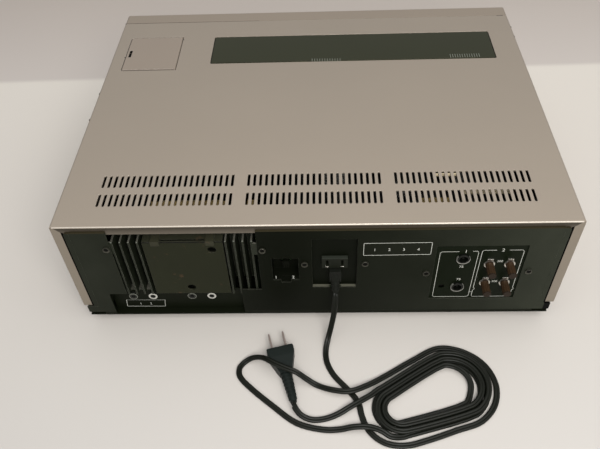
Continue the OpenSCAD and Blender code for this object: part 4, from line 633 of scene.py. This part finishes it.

# %% The transistor plate: lighter clips, painted shade in the fold behind them, and rust through the paint
tree = plate_black.node_tree
clips = math_node(tree, "MAXIMUM", above(plate_black, "Y", 160.1), above(plate_black, "Z", 109.9))
overlaid(plate_black, clips, (0.030, 0.030, 0.018))
painted_fold_shade = times(tree, above(plate_black, "Z", 108.4), below(plate_black, "Z", 109.5))
overlaid(plate_black, times(tree, painted_fold_shade, below(plate_black, "Y", 160.1)), (0.001, 0.001, 0.001))
rust = math_node(tree, "SUBTRACT", noise(tree, object_point(tree), 70.0, 6.0, 0.7), 0.62, True)
overlaid(plate_black, times(tree, rust, 6.0, True), (0.10, 0.055, 0.030))
print("finishes:", len(bpy.data.materials))

# %% [markdown]
# ## Which finish each solid wears
# Every solid from the drawing gets one finish. It could be set piece by piece, but a table of names keeps it
# in one place, where a missing name is easy to see.

# %% Finishes on the solids
WEARS = {
    "top_cover": champagne, "front_panel": champagne_moulded, "hatch_lid": lid_paint,
    "base_pan": pan_black, "rear_panel": panel_black, "antenna_plate": aerial_black,
    "outlet_plate": recess_black, "jack_plate": pan_black, "transistor_plate": plate_black,
    "heat_sink": anodised, "feet": rubber, "pinch_roller": rubber, "cord_bushing": bushing_black,
    "plug_body": plug_black, "plug_blades": blade_metal, "top_window": smoked,
    "display_window": smoked, "preset_tray": dark_plastic, "channel_switch_body": well_black,
    "channel_switch_knob": well_black, "ac_outlet": outlet_black, "video_jacks": dark_jack,
    "cassette_flap": dark_plastic, "audio_jacks": white_plastic, "terminal_cap_1": amber,
    "terminal_cap_2": amber, "terminal_cap_3": amber, "terminal_cap_4": amber,
    "power_button": silver_plastic, "eject_button": silver_plastic, "rewind_key": silver_plastic,
    "stop_key": silver_plastic, "play_key": silver_plastic, "forward_key": silver_plastic,
    "pause_key": silver_plastic, "record_key": red_plastic, "coax_sockets": socket_metal,
    "cover_screws": dark_screw, "rear_screws": dark_screw, "terminal_studs": plated,
    "deck_plate": zinc, "lift_frame": zinc, "cassette_slider": zinc, "cassette_holder": zinc,
    "capstan": zinc, "pinch_arm": zinc, "capstan_housing": dark_plastic, "lower_drum": turned,
    "upper_drum": turned, "tape_heads": turned, "supply_reel": reel_grey, "takeup_reel": reel_grey,
    "guide_carriage_left": brass, "guide_carriage_right": brass, "main_board": board_green,
    "power_transformer": core, "tuner_module": tinned}
for name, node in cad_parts.items():
    if name in WEARS:
        node.data.materials.clear()
        node.data.materials.append(WEARS[name])
mains_lead.data.materials.append(sheath)
print("solids without a finish:", sorted(set(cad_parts) - set(WEARS)))

# %% [markdown]
# ## Small things that only the eye needs
# Prints, the latch of the hatch and the marks of use are thin pieces of their own. They could be masks like
# the marks above, but a print has a crisp edge at any distance when it is a mesh. Each piece rides the body
# that carries it, so it moves with the lid or the keys. Four small makers do the work: a box, a straight
# stroke, a prism from an outline, and the step that turns a bmesh into an object.

# %% Makers of thin pieces
def new_piece(name, built, body, material):
    """The bmesh as an object that rides a body."""
    bmesh.ops.recalc_face_normals(built, faces=built.faces)
    shape = bpy.data.meshes.new(name)
    built.to_mesh(shape)
    built.free()
    made = bpy.data.objects.new(name, shape)
    bpy.context.scene.collection.objects.link(made)
    shape.materials.append(material)
    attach(made, body)
    print(name + ":", len(shape.polygons), "faces on", body)


def brick(built, low, high):
    """Adds a box between two corners in millimetres."""
    a, b = mm(*low), mm(*high)
    where = Matrix.Translation((a + b) / 2)
    bmesh.ops.create_cube(built, size=1.0, matrix=where @ Matrix.Diagonal((*(b - a), 1)))


def stroke(built, start, end, wide, near, far):
    """Adds a straight line of ink on an upright face, between two points given as (x, z)."""
    a, b = Vector((start[0], 0, start[1])), Vector((end[0], 0, end[1]))
    along = (b - a).normalized()
    side = Vector((-along.z, 0, along.x))
    turn = Matrix((along, Vector((0, 1, 0)), side)).transposed().to_4x4()
    where = Matrix.Scale(0.001, 4) @ Matrix.Translation((a + b) / 2 + Vector((0, (near + far) / 2, 0)))
    size = Matrix.Diagonal(((b - a).length + wide, far - near, wide, 1))
    bmesh.ops.create_cube(built, size=1.0, matrix=where @ turn @ size)


def prism(built, outline, near, far):
    """Adds a flat shape with its outline in (x, z), from one depth to another."""
    face = built.faces.new([built.verts.new(mm(x, near, z)) for x, z in outline])
    grown = bmesh.ops.extrude_face_region(built, geom=[face], use_keep_orig=True)
    bmesh.ops.translate(built, vec=mm(0, far - near, 0),
                        verts=[v for v in grown["geom"] if isinstance(v, bmesh.types.BMVert)])


def disc(x, z, radius, steps=24):
    """A round outline for a prism."""
    return [(x + radius * math.cos(a), z + radius * math.sin(a)) for a in
            (math.radians(360 / steps * k) for k in range(steps))]


# %% [markdown]
# ## Prints of the rear
# White lines frame the sockets of the aerial and the jacks, and one frame holds a row of four numbers. On the
# real panel they are screen printed. Here a frame is a row of strokes 0.42 mm wide and less than a tenth of
# a millimetre thick, and the numbers are text curves made into meshes.

# %% Printed frames of the rear
PANEL_FACE, AERIAL_FACE, JACK_FACE = 161.2, 160.0, 153.5  # how far back each printed face is
LINE = 0.42
PRINTS = [  # the face, then the corners of one line
    (PANEL_FACE, [(-40.8, 106.6), (-96.6, 106.9), (-96.6, 92.0), (-40.8, 91.4), (-40.8, 106.6)]),
    (AERIAL_FACE, [(-120.2, 93.6), (-106.2, 93.6), (-104.8, 92.2), (-104.8, 33.4), (-106.0, 32.0),
                   (-135.2, 31.8), (-136.6, 33.2), (-136.6, 92.4), (-135.6, 94.0), (-131.8, 94.0)]),
    (AERIAL_FACE, [(-151.0, 95.0), (-140.6, 95.0), (-139.4, 93.6), (-139.4, 44.8), (-140.6, 43.6),
                   (-140.6, 42.6), (-139.4, 41.2), (-139.4, 33.0), (-140.6, 31.8), (-172.2, 32.0),
                   (-173.6, 33.4), (-173.6, 41.2), (-174.8, 42.4), (-174.8, 43.4), (-173.8, 44.6),
                   (-173.8, 93.4), (-172.6, 95.0), (-162.0, 95.0)]),
    (AERIAL_FACE, [(-136.8, 38.6), (-139.2, 38.6)]),
    (JACK_FACE, [(140.8, 21.4), (142.2, 11.6), (178.0, 12.0), (177.0, 21.8)])]
printed = bmesh.new()
for y, corners in PRINTS:
    for a, b in zip(corners, corners[1:]):
        stroke(printed, a, b, LINE, y + 0.01, y + 0.09)
# The top line of the jacks' frame is worn thin
stroke(printed, (177.0, 21.8), (140.8, 21.4), 0.18, JACK_FACE + 0.01, JACK_FACE + 0.09)
new_piece("rear_frames", printed, "chassis", ink)

# %% Plain numbers of the rear
def numeral(name, text, x, y, z, size):
    """A plain number on an upright face, read from behind."""
    words = bpy.data.curves.new(name, "FONT")
    words.body, words.size, words.align_x, words.extrude = text, mm(size), "CENTER", mm(0.04)
    made = bpy.data.objects.new(name + "_text", words)
    bpy.context.scene.collection.objects.link(made)
    made = as_mesh(made, name)
    made.data.transform(Matrix(((-1, 0, 0, mm(x)), (0, 0, 1, mm(y + 0.05)), (0, 1, 0, mm(z)), (0, 0, 0, 1))))
    made.data.materials.append(ink)
    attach(made, "chassis")


NUMBERS = [  # the name, the face, then each number with its x, the height of its foot, and its size
    ("switch_mark", PANEL_FACE, [("1", 34.1, 61.6, 5), ("2", 19.1, 61.6, 5)]),
    ("aerial_mark", AERIAL_FACE, [
        ("1", -126.0, 92.0, 5.2), ("2", -156.5, 93.4, 5.2), ("75", -124.8, 72.6, 4.0),
        ("75", -124.8, 55.4, 4.0), ("300", -156.3, 79.6, 3.4), ("300", -156.3, 52.4, 3.4)]),
    ("rating_mark", PANEL_FACE, [
        ("1", -50, 97, 4.4), ("2", -62, 97, 4.4), ("3", -74, 97, 4.4), ("4", -86, 97, 4.4)]),
    ("jack_mark", JACK_FACE, [("1", 164.5, 14.6, 4), ("2", 155, 14.6, 4)])]
for kind, face, row in NUMBERS:
    for k, (text, x, z, size) in enumerate(row):
        numeral(f"{kind}_{k + 1}", text, x, face, z, size)
    print(kind + "s:", len(row))

# %% [markdown]
# ## Edges, screws and marks of use
# A flat panel with painted edges looks like a drawing of one. The eye believes the real thing because of what
# is next to it: the black gap where two sheets meet, the dark recess in a screw, a contact that glints in its
# slot. Each is a low box or prism: the near-black ones paint the shade in gaps, recesses and the hatch's
# notch, and the others have the finish that shows there.

# %% Edge strips of the rear panel: the panel laps over the side flanges, with a near-black strip beside it that paints the shade in the gap
laps, gaps = bmesh.new(), bmesh.new()
for side in (1, -1):
    prism(laps, [(side * x, z) for x, z in ((200.9, 22.6), (205.2, 22.6), (205.2, 120.6), (204.5, 122.2),
                                            (202.8, 122.9), (200.9, 122.9))], 160.02, 161.26)
    prism(gaps, [(side * x, z) for x, z in ((205.2, 22.9), (207.2, 22.9), (207.2, 122.6), (205.2, 122.0))],
          160.02, 160.1)
new_piece("panel_laps", laps, "chassis", panel_black)
painted_gap_shade = finish("painted_gap_shade", (0.0006, 0.0006, 0.0005), 0.6, shade=0.1, bump=0.002, radius=0.02,
                   specular_ior_level=0.02)
new_piece("panel_gap_shade", gaps, "chassis", painted_gap_shade)

# %% Painted shade in the recesses of the rear screws' heads
SCREWS = [(173.9, 102.5), (43.6, 99.5), (8.8, 81), (-42.6, 81), (-95.3, 67.5), (-182, 69)]
recesses = bmesh.new()
for x, z in SCREWS:
    prism(recesses, disc(x, z + 0.75, 2.0, 18), 162.2, 162.84)
    stroke(recesses, (x - 0.85, z - 0.3), (x + 0.85, z - 0.3), 0.7, 162.2, 162.9)
new_piece("screw_crosses", recesses, "chassis", painted_shade_black)

# %% The outlet's two contacts
contacts = bmesh.new()
for x in (-10.3, -23.4):
    brick(contacts, (x - 1.3, 160.55, 76.0), (x + 1.3, 160.68, 76.8))
new_piece("outlet_contacts", contacts, "chassis", plated)

# %% Scale marks on the window
marks = bmesh.new()
for k in range(12):
    x = 2.0 - k * 2.64
    brick(marks, (x - 0.28, -75.8 + 0.06 * k, COVER_TOP), (x + 0.28, -70.6 + 0.06 * k, COVER_TOP + 0.05))
for k in range(13):
    x = -141.2 - k * 2.46
    brick(marks, (x - 0.28, -79.0, COVER_TOP), (x + 0.28, -72.6, COVER_TOP + 0.05))
window_ink = finish("window_ink", (0.17, 0.18, 0.15), 0.5, fine=2600, clouds=90, shade=0.3, bump=0.002,
                    radius=0.02)
new_piece("window_marks", marks, "chassis", window_ink)

# %% Painted shade in the gap of the front seam, which is open towards the hatch's end
seam_gap = bmesh.new()
brick(seam_gap, (118.0, -154.98, COVER_TOP - 0.6), (214.4, -154.5, COVER_TOP + 0.02))
brick(seam_gap, (62.0, -154.86, COVER_TOP - 0.6), (118.0, -154.6, COVER_TOP + 0.02))
new_piece("front_seam", seam_gap, "chassis", painted_shade_black)

# %% The hatch's latch, near-black pieces that paint the shade in its notch, and its two ribs
latch = bmesh.new()
brick(latch, (195.0, -98.6, COVER_TOP - 1), (198.2, -95.0, COVER_TOP - 0.2))
brick(latch, (195.4, -93.4, COVER_TOP - 1), (198.4, -85.4, COVER_TOP - 0.2))
new_piece("hatch_latch", latch, "hatch", painted_shade_black)
rib = bmesh.new()
brick(rib, (145.6, -62.9, COVER_TOP - 0.1), (198.6, -62.3, COVER_TOP + 0.12))
brick(rib, (144.6, -123.1, COVER_TOP - 0.1), (198.8, -122.5, COVER_TOP + 0.12))
new_piece("hatch_rib", rib, "hatch", lid_paint)

# %% Small chips in the paint, on the top and along the side bends
chips = bmesh.new()
for x, y, long, wide in ((142.9, -118.0, 1.6, 1.6), (-206.6, -154.2, 7.0, 0.9), (201.1, -85.2, 1.2, 1.6)):
    brick(chips, (x - long / 2, y - wide / 2, COVER_TOP - 0.01),
          (x + long / 2, y + wide / 2, COVER_TOP + 0.03))
for side, y, z in ((1, -22.8, 128.4), (1, 19.4, 128.6), (-1, -131.7, 128.5), (-1, -112.3, 128.4)):
    x = side * (COVER_HALF - 0.04)
    brick(chips, (x - 0.03, y - 1.4, z - 0.7), (x + 0.08, y + 1.4, z + 0.5))
new_piece("paint_chips", chips, "chassis", dark_ink)

# %% [markdown]
# ## What shows through the slots
# Through the slots the eye catches bits of brown card and pale tape on what lies below. A picture of an
# inside would look flat when the view moves, so they are real pieces at their real depth: cards on the
# heat sink and the tuner, and tape on the tuner and under the roof.

# %% Cards and tape
card_brown = finish("card_brown", (0.26, 0.19, 0.08), 0.7, fine=500, clouds=160, shade=0.7, bump=0.03,
                    radius=0.1, specular_ior_level=0.1)
cards = bmesh.new()
brick(cards, (77.0, 113.0, 109.55), (142.8, 139.0, 110.1))
brick(cards, (50.9, 112.0, 109.55), (58.6, 139.0, 110.1))
brick(cards, (-118.6, 106.0, 103.05), (-91.0, 112.0, 103.6))
new_piece("insulating_cards", cards, "chassis", card_brown)
pale_tape = finish("pale_tape", (0.40, 0.34, 0.23), 0.6, fine=500, clouds=240, shade=0.8, bump=0.03,
                   radius=0.1, specular_ior_level=0.1)
taped = bmesh.new()
brick(taped, (-172.0, 94.0, 103.05), (-131.5, 101.6, 103.6))
new_piece("tuner_label", taped, "chassis", pale_tape)
tags = bmesh.new()
brick(tags, (-122.0, 101.9, 126.6), (-102.6, 103.3, 128.8))
new_piece("roof_tags", tags, "chassis", pale_tape)

# %% Light corners of the heat sink's fins: rubbed metal, with a painted highlight there
corners = bmesh.new()
for x in [168.9 - 7.2 * k for k in range(4)] + [52.1 + 7.2 * k for k in range(4)]:
    brick(corners, (x - 0.55, 159.4, 109.1), (x + 0.55, 160.08, 109.56))
new_piece("fin_corner_highlights", corners, "chassis", window_ink)

# %% [markdown]
# ## Signs on the keys
# Keys carry the plain signs of any tape machine: triangles, a square, two bars, a dot. Each is a prism of a
# few corners that stands 0.06 mm off the key and rides the key's body, so it goes in when the key does.

# %% Outlines of the signs
def pointer(x, z, along, tall):
    """A triangle that points along x (a positive or negative length)."""
    return [(x, z - tall / 2), (x, z + tall / 2), (x + along, z)]


def block(x, z, wide, tall):
    """A rectangle about its middle."""
    return [(x - wide / 2, z - tall / 2), (x - wide / 2, z + tall / 2), (x + wide / 2, z + tall / 2),
            (x + wide / 2, z - tall / 2)]


# %% Signs of the six keys, of eject and of power
KEY_Z, KEY_INK = 56, (-174.06, -173.98)  # height of the keys' middle, and where the ink starts and ends
SIGNS = {"rewind": [pointer(-155, KEY_Z, -4.4, 5), pointer(-150.6, KEY_Z, -4.4, 5)],
         "stop": [block(-127, KEY_Z, 4.6, 4.6)], "play": [pointer(-101.2, KEY_Z, 5, 5.6)],
         "forward": [pointer(-75.4, KEY_Z, 4.4, 5), pointer(-71, KEY_Z, 4.4, 5)],
         "pause": [block(-44.4, KEY_Z, 1.3, 5), block(-41.6, KEY_Z, 1.3, 5)],
         "record": [disc(-15, KEY_Z, 2.4)]}
for key, outlines in SIGNS.items():
    sign = bmesh.new()
    for outline in outlines:
        prism(sign, outline, *KEY_INK)
    new_piece(key + "_sign", sign, key + "_key_body", dark_ink)
sign = bmesh.new()
prism(sign, [(23.6, 104.2), (26.75, 108.4), (29.9, 104.2)], *KEY_INK)
prism(sign, block(26.75, 102.4, 6.3, 1.1), *KEY_INK)
new_piece("eject_sign", sign, "eject_button_body", dark_ink)
sign = bmesh.new()
POWER_X, POWER_Z = 184, 48
arc = [(POWER_X + 3.2 * math.sin(a), POWER_Z + 3.2 * math.cos(a)) for a in
       (math.radians(d) for d in range(40, 321, 20))]
for a, b in zip(arc, arc[1:]):
    stroke(sign, a, b, 0.6, *KEY_INK)
stroke(sign, (POWER_X, POWER_Z + 1.2), (POWER_X, POWER_Z + 4), 0.6, *KEY_INK)
new_piece("power_sign", sign, "power_button_body", dark_ink)

# %% [markdown]
# ## The table
# A pale, slightly warm surface, nearly white towards the camera and greyer behind the recorder. More lamps
# could shade it, but they would change the recorder too. So the table stays one flat plane, and a colour
# ramp along its depth gives these tones.

# %% Ground
ground = bmesh.new()
bmesh.ops.create_grid(ground, x_segments=2, y_segments=2, size=4.0)
floor_mesh = bpy.data.meshes.new("table_top")
ground.to_mesh(floor_mesh)
ground.free()
table_top = bpy.data.objects.new("table_top", floor_mesh)
bpy.context.scene.collection.objects.link(table_top)
table_paint = bpy.data.materials.new("table_paint")
table_paint.use_nodes = True
tree = table_paint.node_tree
shader = tree.nodes["Principled BSDF"]
where = object_point(tree)
soft = scaled(tree, noise(tree, where, 2.4, 2.0), 0.02, -0.01)
tilted = times(tree, axis(tree, where, "X"), -0.022)
tilted = math_node(tree, "ADD", axis(tree, where, "Y"), tilted)
depth = math_node(tree, "ADD", math_node(tree, "ADD", tilted, 0.6), soft, True)
tones = tree.nodes.new("ShaderNodeValToRGB")
stops = ((0.10, (0.54, 0.475, 0.42)), (0.352, (0.60, 0.545, 0.50)), (0.36, (0.76, 0.71, 0.64)),
         (0.60, (0.66, 0.62, 0.57)), (0.90, (0.53, 0.505, 0.475)))
for k, (at, colour) in enumerate(stops):
    stop = tones.color_ramp.elements[k] if k < 2 else tones.color_ramp.elements.new(at)
    stop.position, stop.color = at, (*colour, 1)
tree.links.new(depth, tones.inputs["Fac"])
tree.links.new(tones.outputs["Color"], shader.inputs["Base Color"])
shader.inputs["Roughness"].default_value = 0.6
floor_mesh.materials.append(table_paint)
print("table:", len(stops), "tones along its depth")
